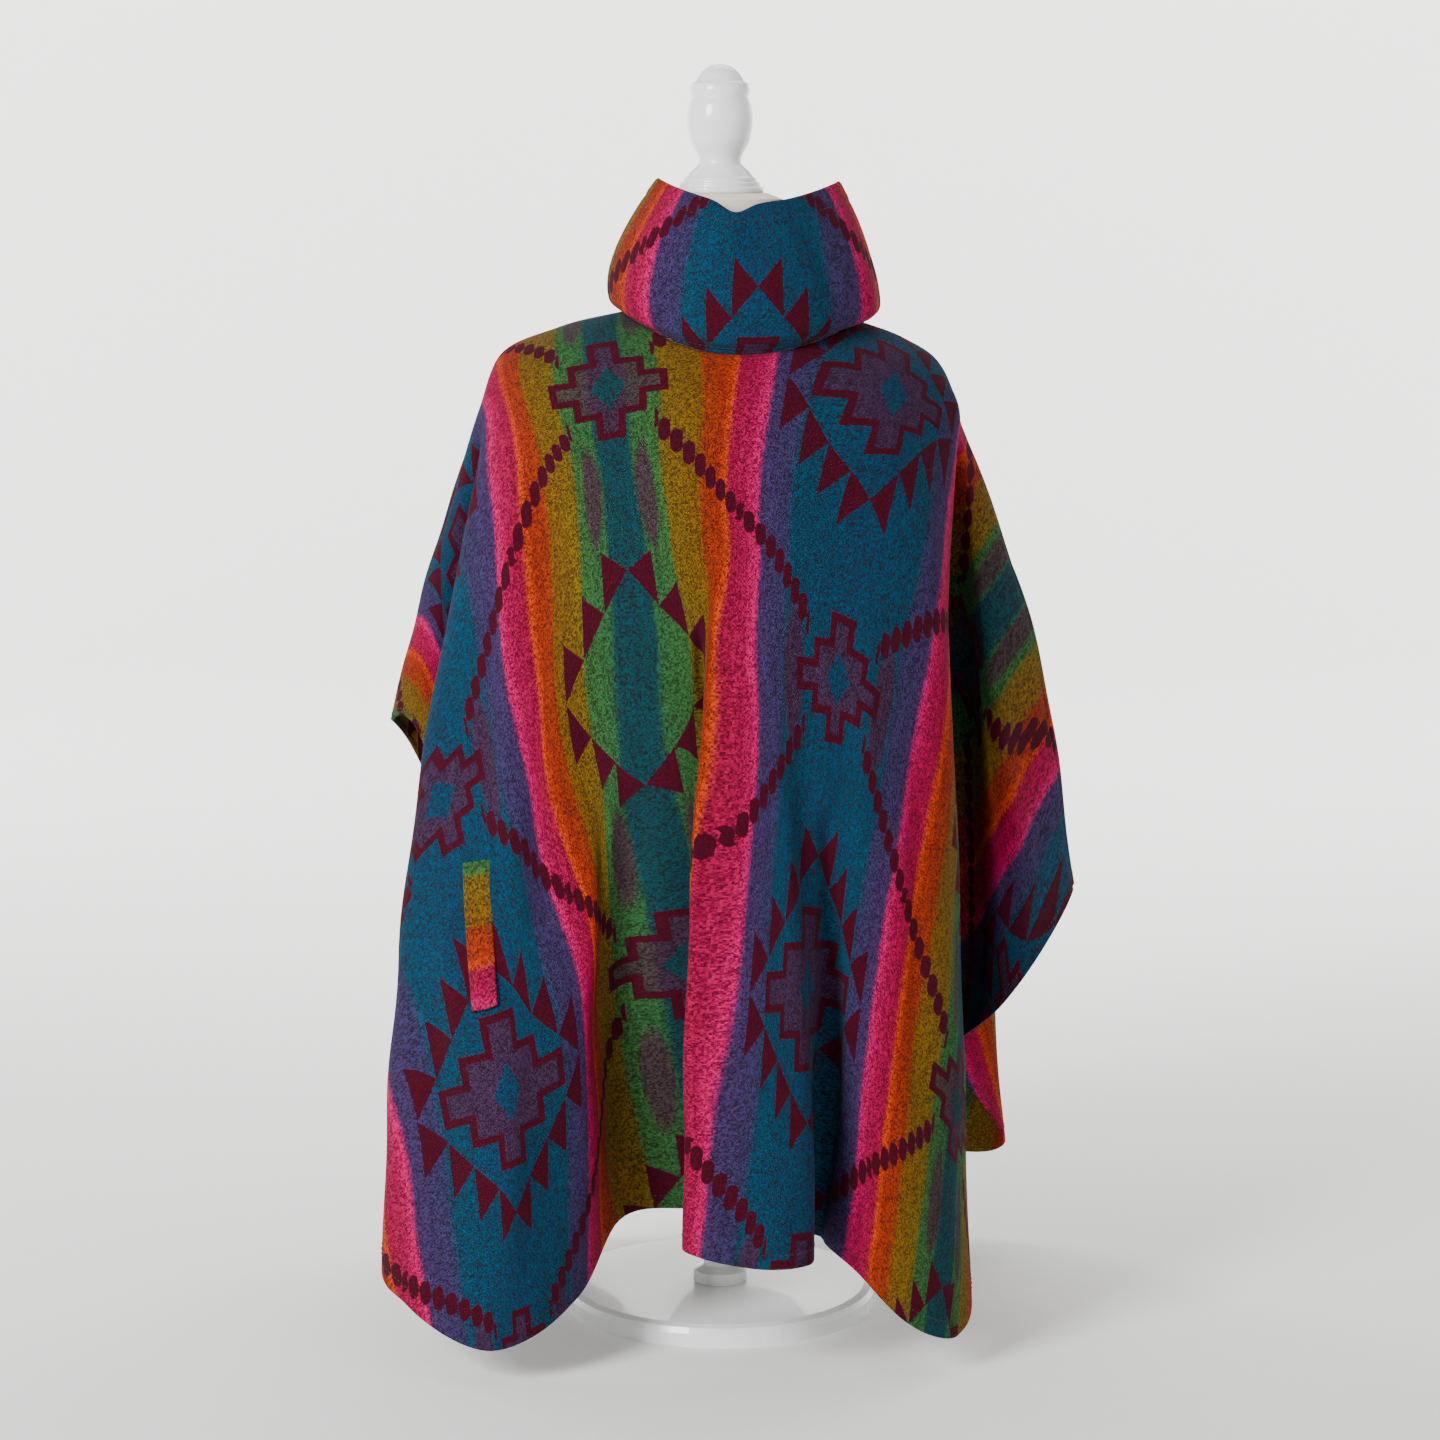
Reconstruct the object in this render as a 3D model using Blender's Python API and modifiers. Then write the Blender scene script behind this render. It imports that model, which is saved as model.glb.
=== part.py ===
"""Turtleneck poncho worn on a limbless table-top dress form.

The poncho is a rectangle of blanket cloth, cut as a front and a back that are sewn along the
shoulders, with a wide standing collar and a pocket welt. It hangs in deep folds from the form's
shoulders. The form is a smooth torso on a pole and a round base, with a turned finial on its neck.
Units are metres, +Z is up, the front faces -Y and the origin is the middle of the base's underside.
"""
import math

import bmesh
import bpy
import numpy as np

CLOTH_WALL = 0.002          # thickness of the blanket cloth
SEAM_GAP = 0.0003           # clearance between pieces that touch
FORM_GAP = 0.0007           # clearance between the cloth and the form's shoulders
COLUMNS_PER_FOLD = 3        # cloth columns between two folds of the table
UPPER_ROWS = 6              # cloth rows over the shoulders
LOWER_ROWS = 9              # cloth rows from the shoulders to the hem
HANGING_RINGS = 6           # guide rings between the last shoulder ring and the hem

# Rings over the shoulders, from the neck seam outwards: where each crosses the axes at its left,
# right, front and back, then its heights at the left, right, front and back.
SHOULDER_RINGS = (
    ("neck seam", -0.088, 0.128, -0.098, 0.088, 0.957, 0.948, 0.9205, 0.950),
    ("shoulder slope", -0.150, 0.172, -0.126, 0.112, 0.942, 0.931, 0.878, 0.922),
    ("shoulder edge", -0.203, 0.206, -0.150, 0.136, 0.917, 0.907, 0.815, 0.868),
    ("drop", -0.226, 0.227, -0.166, 0.152, 0.868, 0.858, 0.740, 0.795),
)

# Folds round the poncho, anticlockwise from the centre front seen from above, one row each: name,
# bearing, x, y, z, tuck, start and bow.
# bearing: where the fold starts on the shoulders, in degrees from the centre front towards +X.
# x, y, z: where it meets the hem. tuck: how far the hem is drawn in there. start: the power of the
# drop at which the tuck grows, so 2 is a fold that opens late. bow: how far the fold swells outwards.
FOLDS = (
    ("centre fold left edge", -3, -0.030, -0.262, 0.129, 0.010, 1.0, 0.010),
    ("centre fold middle", 4, 0.027, -0.275, 0.116, 0.000, 1.0, 0.012),
    ("centre fold right edge", 12, 0.079, -0.262, 0.115, 0.000, 1.0, 0.010),
    ("right valley", 19, 0.086, -0.170, 0.112, 0.080, 2.6, 0.012),
    ("right lobe inner side", 28, 0.120, -0.215, 0.098, 0.030, 2.0, 0.012),
    ("right lobe front", 42, 0.170, -0.245, 0.055, 0.000, 1.0, 0.012),
    ("right lobe corner", 58, 0.217, -0.215, 0.034, 0.000, 1.0, 0.010),
    ("right edge fold", 69, 0.230, -0.155, 0.070, 0.000, 1.0, -0.008),
    ("right front recess", 77, 0.180, 0.030, 0.200, 0.100, 0.5, 0.000),
    ("right flap front", 84, 0.275, -0.045, 0.312, 0.000, 1.0, 0.004),
    ("right flap outer", 90, 0.343, 0.045, 0.400, 0.000, 1.0, 0.016),
    ("right flap back", 97, 0.305, 0.105, 0.380, 0.000, 1.0, 0.010),
    ("right back recess", 105, 0.215, 0.100, 0.260, 0.080, 0.7, 0.000),
    ("back right corner", 118, 0.290, 0.190, 0.105, 0.000, 1.0, 0.010),
    ("back right lobe", 134, 0.190, 0.250, 0.090, 0.000, 1.0, 0.012),
    ("back right valley", 150, 0.120, 0.170, 0.140, 0.080, 2.2, 0.010),
    ("back centre right", 163, 0.070, 0.262, 0.120, 0.000, 1.0, 0.012),
    ("back centre left", 180, -0.020, 0.272, 0.115, 0.000, 1.0, 0.012),
    ("back left valley", 196, -0.070, 0.180, 0.130, 0.080, 2.4, 0.010),
    ("back left lobe inner", 208, -0.120, 0.245, 0.110, 0.010, 1.4, 0.012),
    ("back left lobe", 224, -0.200, 0.255, 0.080, 0.000, 1.0, 0.012),
    ("back left corner", 240, -0.275, 0.190, 0.085, 0.000, 1.0, 0.010),
    ("left back recess", 254, -0.215, 0.105, 0.330, 0.080, 0.7, 0.000),
    ("left flap back", 263, -0.295, 0.085, 0.520, 0.000, 1.0, 0.008),
    ("left flap outer", 270, -0.316, 0.025, 0.568, 0.000, 1.0, 0.002),
    ("left flap front", 276, -0.280, -0.015, 0.548, 0.000, 1.0, 0.006),
    ("left front recess", 282, -0.215, -0.030, 0.330, 0.060, 0.7, 0.000),
    ("left edge fold", 290, -0.309, -0.150, 0.110, 0.000, 1.0, 0.026),
    ("left lobe corner", 302, -0.285, -0.215, 0.062, 0.000, 1.0, 0.022),
    ("left lobe front", 318, -0.205, -0.262, 0.035, 0.000, 1.0, 0.016),
    ("left lobe inner side", 334, -0.128, -0.222, 0.072, 0.020, 2.0, 0.012),
    ("left valley", 344, -0.090, -0.150, 0.122, 0.090, 2.2, 0.012),
    ("left tuck", 351, -0.010, -0.145, 0.132, 0.110, 1.8, 0.012),
)
SHOULDER_LEVELS = len(SHOULDER_RINGS) - 1
HEM_LEVEL = SHOULDER_LEVELS + HANGING_RINGS
FOLD_NAMES = [fold[0] for fold in FOLDS]
RIGHT_SEAM = FOLD_NAMES.index("right flap outer")
LEFT_SEAM = FOLD_NAMES.index("left flap outer")

# Rings of the collar above the neck seam, in the same columns as the shoulder rings. The top edge
# stands in a point over each shoulder, where the collar's front and back halves are joined.
COLLAR_RINGS = (
    ("swell at the seam", -0.103, 0.148, -0.108, 0.098, 0.966, 0.956, 0.936, 0.962),
    ("widest", -0.105, 0.149, -0.113, 0.102, 0.990, 0.978, 0.966, 0.986),
    ("middle", -0.096, 0.142, -0.108, 0.097, 1.019, 1.007, 0.998, 1.012),
    ("upper", -0.079, 0.129, -0.098, 0.088, 1.050, 1.042, 1.030, 1.034),
    ("top edge", -0.058, 0.111, -0.086, 0.078, 1.080, 1.077, 1.058, 1.050),
)
COLLAR_COLUMNS = 48
COLLAR_NOTCH_X = 0.014      # where the front of the top edge dips
COLLAR_NOTCH_DEPTH = 0.009
COLLAR_NOTCH_WIDTH = 0.014
COLLAR_POINT = 0.35         # how sharply the top edge narrows to its two points

# Pocket welt on the front: a slanting strip between two rows of corners, each with the fold index
# and the level of its left corner and of its right one.
WELT_TOP = ("top", 28.34, 5.76, 28.68, 5.62)
WELT_BOTTOM = ("bottom", 28.62, 6.70, 28.90, 6.58)
WELT_ROWS = 6
WELT_COLUMNS = 3
WELT_LIFT = 0.0006          # clearance between the welt and the front, whose facets are coarser

# Torso below the shoulders, and its neck above them, in the same columns as the shoulder rings.
NECK_RINGS = (
    ("neck top", -0.044, 0.044, -0.044, 0.044, 1.0655, 1.0655, 1.0655, 1.0655),
    ("neck rim", -0.058, 0.058, -0.056, 0.056, 1.060, 1.060, 1.060, 1.060),
    ("neck side", -0.063, 0.064, -0.061, 0.061, 1.045, 1.045, 1.045, 1.045),
    ("neck waist", -0.060, 0.062, -0.059, 0.059, 1.005, 1.005, 1.005, 1.005),
    ("neck root", -0.068, 0.076, -0.072, 0.070, 0.966, 0.962, 0.945, 0.962),
    ("under the seam", -0.082, 0.106, -0.090, 0.082, 0.950, 0.944, 0.918, 0.944),
)
TORSO_RINGS = (
    ("armhole", -0.186, 0.188, -0.142, 0.128, 0.862, 0.856, 0.768, 0.820),
    ("chest", -0.164, 0.166, -0.126, 0.114, 0.780, 0.780, 0.715, 0.750),
    ("waist", -0.122, 0.122, -0.092, 0.092, 0.630, 0.630, 0.620, 0.630),
    ("hip", -0.150, 0.150, -0.108, 0.112, 0.480, 0.480, 0.480, 0.480),
    ("foot rim", -0.148, 0.148, -0.106, 0.110, 0.434, 0.434, 0.434, 0.434),
    ("foot", -0.138, 0.138, -0.098, 0.102, 0.425, 0.425, 0.425, 0.425),
)
FORM_COLUMNS = 48
FORM_SHOULDER_LEVELS = (0.5, 1.0, 1.5, 2.0)

# Turned finial: radius and height of its outline, top to bottom.
FINIAL_PROFILE = (
    (0.0000, 1.1834), (0.0080, 1.1822), (0.0155, 1.1782), (0.0205, 1.1730), (0.0235, 1.1672),
    (0.0258, 1.1664), (0.0278, 1.1620), (0.0275, 1.1560), (0.0262, 1.1530), (0.0280, 1.1485),
    (0.0302, 1.1400), (0.0305, 1.1310), (0.0285, 1.1190), (0.0240, 1.1070), (0.0200, 1.0980),
    (0.0196, 1.0940), (0.0225, 1.0900), (0.0265, 1.0860), (0.0315, 1.0805), (0.0345, 1.0785),
    (0.0345, 1.0765), (0.0375, 1.0750), (0.0375, 1.0725), (0.0405, 1.0710), (0.0405, 1.0658),
    (0.0000, 1.0658),
)
BASE_RADIUS = 0.150
BASE_HEIGHT = 0.020
BASE_EDGE = 0.005
POLE_RADIUS = 0.016
POLE_BEAD_RADIUS = 0.026
POLE_BEAD_HEIGHT = 0.016
TURNED_STEPS = 32
POLE_STEPS = 24


def material(name, colour, roughness, metallic=0.0):
    """Plain Principled material in the colour of the piece."""
    made = bpy.data.materials.new(name)
    made.use_nodes = True
    shader = made.node_tree.nodes["Principled BSDF"]
    shader.inputs["Base Color"].default_value = (*colour, 1.0)
    shader.inputs["Roughness"].default_value = roughness
    shader.inputs["Metallic"].default_value = metallic
    made.diffuse_color = (*colour, 1.0)
    return made


def add_object(name, mesh, collection, finish):
    """Object in the collection, shaded smooth away from its sharp edges."""
    made = bpy.data.objects.new(name, mesh)
    mesh.materials.append(finish)
    mesh.shade_smooth()
    mesh.set_sharp_from_angle(angle=math.radians(50))
    collection.objects.link(made)
    return made


def spline(points, at, periodic):
    """Catmull-Rom curve through points, read at the fractional indices in at."""
    points = np.asarray(points, float)
    at = np.asarray(at, float)
    index = np.floor(at).astype(int)
    if periodic:
        before, first, second, after = (points[(index + k) % len(points)] for k in (-1, 0, 1, 2))
    else:
        index = np.clip(index, 0, len(points) - 2)
        padded = np.concatenate([
            [2 * points[0] - points[1]],
            points,
            [2 * points[-1] - points[-2]],
        ])
        before, first, second, after = (padded[index + k] for k in (0, 1, 2, 3))
    part = (at - index).reshape((-1,) + (1,) * (points.ndim - 1))
    return 0.5 * (
        2 * first
        + (second - before) * part
        + (2 * before - 5 * first + 4 * second - after) * part ** 2
        + (3 * first - before - 3 * second + after) * part ** 3
    )


def ring_points(ring, bearing):
    """Points of one table ring at bearings in radians from the centre front towards +X."""
    left, right, front, back, z_left, z_right, z_front, z_back = ring[1:]
    across = np.sin(bearing)
    along = np.cos(bearing)
    x = (left + right) / 2 + (right - left) / 2 * across
    y = np.where(along > 0, front * along, -back * along)
    z_side = (z_left + z_right) / 2 + (z_right - z_left) / 2 * across
    z_face = np.where(along > 0, z_front, z_back)
    z = z_side + (z_face - z_side) * along ** 2
    return np.stack([x, y, z], axis=-1)


def fold_bearings(at):
    """Bearing on the shoulders, in radians, at fractional fold indices."""
    turn = np.array([fold[1] for fold in FOLDS], float)
    lap = np.concatenate([[turn[-1] - 360], turn, [turn[0] + 360, turn[1] + 360]])
    return np.radians(spline(lap, np.mod(at, len(FOLDS)) + 1, False))


def cloth_points(at, levels):
    """Grid of points on the poncho's outer face, levels by fold indices.

    Level 0 is the neck seam, SHOULDER_LEVELS the drop ring and HEM_LEVEL the hem.
    """
    bearing = fold_bearings(at)
    rings = [ring_points(ring, bearing) for ring in SHOULDER_RINGS]
    row = spline([fold[2:] for fold in FOLDS], at, True)
    hem = row[:, 0:3]
    tuck = row[:, 3:4]
    start = row[:, 4:5]
    bow = row[:, 5:6]
    outward = hem * np.array([1, 1, 0])
    outward /= np.linalg.norm(outward, axis=1, keepdims=True)
    drop_ring = rings[-1]
    hang = hem + outward * tuck
    for ring in range(1, HANGING_RINGS + 1):
        drop = ring / HANGING_RINGS
        point = drop_ring + (hang - drop_ring) * drop
        swell = bow * math.sin(math.pi * drop) - tuck * drop ** start
        rings.append(point + outward * swell)
    return spline(rings, levels, False)


def cloth_frame(at, levels):
    """Points, outward normals and directions round the poncho on the same grid."""
    step = 0.02
    points = cloth_points(at, levels)
    around = cloth_points(at + step, levels) - cloth_points(at - step, levels)
    down = (cloth_points(at, np.minimum(levels + step, HEM_LEVEL))
            - cloth_points(at, np.maximum(levels - step, 0)))
    normals = np.cross(down, around)
    normals /= np.linalg.norm(normals, axis=2, keepdims=True)
    around /= np.linalg.norm(around, axis=2, keepdims=True)
    return points, normals, around


def wall_mesh(name, outer, inner, closed):
    """Closed wall between two grids of points, a tube where closed and a sheet elsewhere."""
    rows, columns = outer.shape[:2]
    mesh = bpy.data.meshes.new(name)
    shell = bmesh.new()
    front = [[shell.verts.new(point) for point in row] for row in outer]
    rear = [[shell.verts.new(point) for point in row] for row in inner]
    last = columns if closed else columns - 1
    for r in range(rows - 1):
        for c in range(last):
            d = (c + 1) % columns
            shell.faces.new((front[r][c], front[r + 1][c], front[r + 1][d], front[r][d]))
            shell.faces.new((rear[r][c], rear[r][d], rear[r + 1][d], rear[r + 1][c]))
    for c in range(last):
        d = (c + 1) % columns
        shell.faces.new((front[0][c], front[0][d], rear[0][d], rear[0][c]))
        shell.faces.new((front[-1][c], rear[-1][c], rear[-1][d], front[-1][d]))
    if not closed:
        for r in range(rows - 1):
            shell.faces.new((front[r][0], rear[r][0], rear[r + 1][0], front[r + 1][0]))
            shell.faces.new((front[r][-1], front[r + 1][-1], rear[r + 1][-1], rear[r][-1]))
    bmesh.ops.recalc_face_normals(shell, faces=shell.faces)
    shell.to_mesh(mesh)
    shell.free()
    return mesh


def make_panel(name, first_fold, last_fold, collection, finish):
    """Front or back of the poncho, between the two shoulder seams."""
    columns = (last_fold - first_fold) * COLUMNS_PER_FOLD + 1
    at = np.linspace(first_fold, last_fold, columns)
    levels = np.concatenate([
        np.linspace(0, SHOULDER_LEVELS, UPPER_ROWS + 1),
        np.linspace(SHOULDER_LEVELS, HEM_LEVEL, LOWER_ROWS + 1)[1:],
    ])
    points, normals, around = cloth_frame(at, levels)
    points[:, 0] += around[:, 0] * SEAM_GAP / 2
    points[:, -1] -= around[:, -1] * SEAM_GAP / 2
    mesh = wall_mesh(name, points, points - normals * CLOTH_WALL, False)
    return add_object(name, mesh, collection, finish)


def strip_frame(top, bottom, rows, columns):
    """Points and outward normals of a strip on the poncho between two table rows of corners."""
    points = np.empty((rows + 1, columns + 1, 3))
    normals = np.empty_like(points)
    for r in range(rows + 1):
        down = r / rows
        left_fold, left_level, right_fold, right_level = (
            high + (low - high) * down for high, low in zip(top[1:], bottom[1:]))
        for c in range(columns + 1):
            across = c / columns
            fold = left_fold + (right_fold - left_fold) * across
            level = left_level + (right_level - left_level) * across
            point, normal, around = cloth_frame(np.array([fold]), np.array([level]))
            points[r, c] = point[0, 0]
            normals[r, c] = normal[0, 0]
    return points, normals


def make_welt(collection, finish):
    """Pocket welt: a narrow strip that follows the front, just clear of it."""
    points, normals = strip_frame(WELT_TOP, WELT_BOTTOM, WELT_ROWS, WELT_COLUMNS)
    under = points + normals * WELT_LIFT
    mesh = wall_mesh("pocket_welt", under + normals * CLOTH_WALL, under, False)
    return add_object("pocket_welt", mesh, collection, finish)


def collar_grid():
    """Rings of the collar's outer face, from just above the neck seam to the top edge."""
    bearing = np.linspace(0, 2 * math.pi, COLLAR_COLUMNS, endpoint=False)
    seam = ring_points(SHOULDER_RINGS[0], bearing) + np.array([0, 0, SEAM_GAP])
    rings = [seam] + [ring_points(ring, bearing) for ring in COLLAR_RINGS]
    top = rings[-1]
    top[:, 1] *= 1 - COLLAR_POINT * np.abs(np.sin(bearing)) ** 4
    dip = np.exp(-((top[:, 0] - COLLAR_NOTCH_X) / COLLAR_NOTCH_WIDTH) ** 2)
    top[:, 2] -= np.where(top[:, 1] < 0, COLLAR_NOTCH_DEPTH * dip, 0)
    rows = np.linspace(0, len(rings) - 1, 2 * len(rings) - 1)
    return spline(rings, rows, False)


def make_collar(collection, finish):
    """Standing collar: a wide tube that swells over the neck seam and leans in at its top."""
    outer = collar_grid()
    centre = outer.mean(axis=1, keepdims=True)
    around = np.roll(outer, -1, axis=1) - np.roll(outer, 1, axis=1)
    inward = np.cross(around, np.array([0, 0, -1.0]))
    inward /= np.linalg.norm(inward, axis=2, keepdims=True)
    towards = np.sum(inward * (centre - outer), axis=2, keepdims=True)
    inward *= np.sign(towards)
    mesh = wall_mesh("collar", outer, outer + inward * CLOTH_WALL, True)
    return add_object("collar", mesh, collection, finish)


def form_rings():
    """Rings of the torso: neck, shoulders just under the cloth, then chest, waist and hip."""
    bearing = np.linspace(0, 2 * math.pi, FORM_COLUMNS, endpoint=False)
    rings = [ring_points(ring, bearing) for ring in NECK_RINGS]
    guide = [ring_points(ring, bearing) for ring in SHOULDER_RINGS]
    levels = np.array(FORM_SHOULDER_LEVELS)
    step = 0.02
    points = spline(guide, levels, False)
    down = spline(guide, levels + step, False) - spline(guide, levels - step, False)
    around = np.roll(points, -1, axis=1) - np.roll(points, 1, axis=1)
    normals = np.cross(down, around)
    normals /= np.linalg.norm(normals, axis=2, keepdims=True)
    rings.extend(points - normals * (CLOTH_WALL + FORM_GAP))
    rings.extend(ring_points(ring, bearing) for ring in TORSO_RINGS)
    return rings


def make_torso(collection, finish):
    """Smooth torso of the dress form, closed flat at the neck and at the foot."""
    mesh = bpy.data.meshes.new("form_torso")
    body = bmesh.new()
    rings = [[body.verts.new(point) for point in ring] for ring in form_rings()]
    for upper, lower in zip(rings, rings[1:]):
        for c in range(FORM_COLUMNS):
            d = (c + 1) % FORM_COLUMNS
            body.faces.new((upper[c], lower[c], lower[d], upper[d]))
    body.faces.new(rings[0])
    body.faces.new(rings[-1])
    bmesh.ops.recalc_face_normals(body, faces=body.faces)
    body.to_mesh(mesh)
    body.free()
    return add_object("form_torso", mesh, collection, finish)


def make_turned(name, profile, steps, collection, finish):
    """Turned piece: a profile at +X, top to bottom, swept round the Z axis."""
    mesh = bpy.data.meshes.new(name)
    edges = [(k, k + 1) for k in range(len(profile) - 1)]
    mesh.from_pydata([(radius, 0, height) for radius, height in profile], edges, [])
    made = bpy.data.objects.new(name, mesh)
    mesh.materials.append(finish)
    collection.objects.link(made)
    screw = made.modifiers.new("turn", "SCREW")
    screw.axis = "Z"
    screw.steps = steps
    screw.render_steps = steps
    screw.use_merge_vertices = True
    screw.merge_threshold = 0.00001
    screw.use_smooth_shade = True
    return made


def pole_profile():
    """Outline of the pole, with a bead above the base."""
    foot = BASE_HEIGHT + SEAM_GAP
    head = TORSO_RINGS[-1][5] - SEAM_GAP
    bead_top = foot + POLE_BEAD_HEIGHT
    return (
        (0, head),
        (POLE_RADIUS, head),
        (POLE_RADIUS, bead_top),
        (POLE_BEAD_RADIUS, bead_top - POLE_BEAD_HEIGHT * 0.3),
        (POLE_BEAD_RADIUS, foot),
        (0, foot),
    )


def base_profile():
    """Outline of the round base, its top edge eased."""
    return (
        (0, BASE_HEIGHT),
        (BASE_RADIUS - BASE_EDGE * 2, BASE_HEIGHT),
        (BASE_RADIUS - BASE_EDGE * 0.6, BASE_HEIGHT - BASE_EDGE * 0.4),
        (BASE_RADIUS, BASE_HEIGHT - BASE_EDGE * 1.4),
        (BASE_RADIUS, 0),
        (0, 0),
    )


for old in list(bpy.data.objects):
    bpy.data.objects.remove(old, do_unlink=True)
parts = bpy.data.collections.new("turtleneck_poncho")
bpy.context.scene.collection.children.link(parts)

wool_front = material("patterned wool, front", (0.12, 0.16, 0.20), 0.9)
wool_back = material("patterned wool, back", (0.17, 0.07, 0.12), 0.9)
wool_collar = material("patterned wool, collar", (0.05, 0.14, 0.20), 0.9)
wool_welt = material("striped wool, welt", (0.55, 0.18, 0.05), 0.9)
jersey = material("cream jersey", (0.82, 0.78, 0.70), 0.8)
white_paint = material("white gloss paint on wood", (0.86, 0.88, 0.88), 0.25)

make_panel("front_panel", LEFT_SEAM, RIGHT_SEAM + len(FOLDS), parts, wool_front)
make_panel("back_panel", RIGHT_SEAM, LEFT_SEAM, parts, wool_back)
make_collar(parts, wool_collar)
make_welt(parts, wool_welt)
make_torso(parts, jersey)
make_turned("form_finial", FINIAL_PROFILE, TURNED_STEPS, parts, white_paint)
make_turned("stand_pole", pole_profile(), POLE_STEPS, parts, white_paint)
make_turned("stand_base", base_profile(), TURNED_STEPS * 2, parts, white_paint)
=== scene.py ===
import functools
import math

import bpy
import numpy as np
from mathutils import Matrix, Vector


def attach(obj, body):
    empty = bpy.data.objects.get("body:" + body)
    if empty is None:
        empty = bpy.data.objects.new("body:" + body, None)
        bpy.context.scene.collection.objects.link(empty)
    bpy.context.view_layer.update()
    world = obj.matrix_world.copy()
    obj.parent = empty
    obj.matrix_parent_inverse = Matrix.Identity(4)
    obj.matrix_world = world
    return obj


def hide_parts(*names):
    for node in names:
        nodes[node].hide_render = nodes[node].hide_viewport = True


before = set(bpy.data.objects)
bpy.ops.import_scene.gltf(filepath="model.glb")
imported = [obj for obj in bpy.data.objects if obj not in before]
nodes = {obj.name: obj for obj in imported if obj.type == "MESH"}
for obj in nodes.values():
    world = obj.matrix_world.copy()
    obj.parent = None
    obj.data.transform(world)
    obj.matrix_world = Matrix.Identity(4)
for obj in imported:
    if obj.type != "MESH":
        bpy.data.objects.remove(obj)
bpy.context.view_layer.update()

# Camera: a long portrait lens at about chest height, a little above the poncho and tipped down on it,
# square to its front as in the photo.
CAMERA_AT = (0.0, -3.4, 1.09)
CAMERA_AIM = (0.0, 0.0, 0.57)
CAMERA_LENS_MM = 90.51
camera_data = bpy.data.cameras.new("camera")
camera_data.sensor_width = 36
camera_data.lens = CAMERA_LENS_MM
camera_data.clip_start = 0.05
camera_data.clip_end = 60
camera = bpy.data.objects.new("camera", camera_data)
camera.location = CAMERA_AT
camera.rotation_euler = (Vector(CAMERA_AIM) - Vector(CAMERA_AT)).to_track_quat("-Z", "Y").to_euler()
bpy.context.scene.collection.objects.link(camera)
bpy.context.scene.camera = camera


# Studio: seamless white paper swept up all round, lit behind by two lights of its own. A softbox at
# the viewer's left above models the folds, a weak one fills from the right, and one behind edges the
# shoulders. The paper is quite matt.
def linear_colour(hex_colour):
    """Linear RGBA from an sRGB hex colour such as 0x1a2b3c."""
    channels = [(hex_colour >> shift & 255) / 255 for shift in (16, 8, 0)]
    return (*(c / 12.92 if c <= 0.04045 else ((c + 0.055) / 1.055) ** 2.4 for c in channels), 1.0)


def add_node(tree, kind, *values, output=0, **settings):
    """Adds a node, or a Math node if kind is an operation, and gives back one of its outputs.

    The values feed its inputs in order: a socket is linked, None leaves the input as it is.
    """
    is_type = kind.startswith("ShaderNode")
    made = tree.nodes.new(kind if is_type else "ShaderNodeMath")
    if not is_type:
        made.operation = kind
    for field, value in settings.items():
        setattr(made, field, value)
    for socket, value in zip(made.inputs, values):
        if isinstance(value, bpy.types.NodeSocket):
            tree.links.new(value, socket)
        elif value is not None:
            socket.default_value = value
    return made.outputs[output]


def new_material(name):
    """Empty node material: its tree and its Principled shader."""
    made = bpy.data.materials.new(name)
    made.use_nodes = True
    return made, made.node_tree, made.node_tree.nodes["Principled BSDF"]


paper, paper_tree, paper_shader = new_material("white seamless paper")
paper_shader.inputs["Base Color"].default_value = linear_colour(0xF4F4F2)
paper_shader.inputs["Roughness"].default_value = 0.9
PAPER_BEND = 4.8            # how far out the floor starts to curve up into the backdrop
PAPER_RADIUS = 1.8
PAPER_TOP = 3.2
PAPER_STEPS = 120
bend = np.linspace(0, math.pi / 2, 25)
sweep = [(1.5, 0.0), (3.2, 0.0)]     # radius and height
sweep += [(PAPER_BEND + PAPER_RADIUS * math.sin(t), PAPER_RADIUS * (1 - math.cos(t))) for t in bend]
sweep += [(PAPER_BEND + PAPER_RADIUS, PAPER_TOP)]
paper_turn = np.linspace(0, 2 * math.pi, PAPER_STEPS, endpoint=False).tolist()
paper_points = [(r * math.cos(t), r * math.sin(t), z) for r, z in sweep for t in paper_turn] + [(0, 0, 0)]
paper_faces = [
    (k * PAPER_STEPS + j, (k + 1) * PAPER_STEPS + j,
     (k + 1) * PAPER_STEPS + (j + 1) % PAPER_STEPS, k * PAPER_STEPS + (j + 1) % PAPER_STEPS)
    for k in range(len(sweep) - 1) for j in range(PAPER_STEPS)]
paper_faces += [(len(paper_points) - 1, j, (j + 1) % PAPER_STEPS) for j in range(PAPER_STEPS)]
floor_mesh = bpy.data.meshes.new("seamless_paper")
floor_mesh.from_pydata(paper_points, [], paper_faces)
floor_mesh.shade_smooth()
floor_mesh.materials.append(paper)
floor = bpy.data.objects.new("seamless_paper", floor_mesh)
bpy.context.scene.collection.objects.link(floor)

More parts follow.
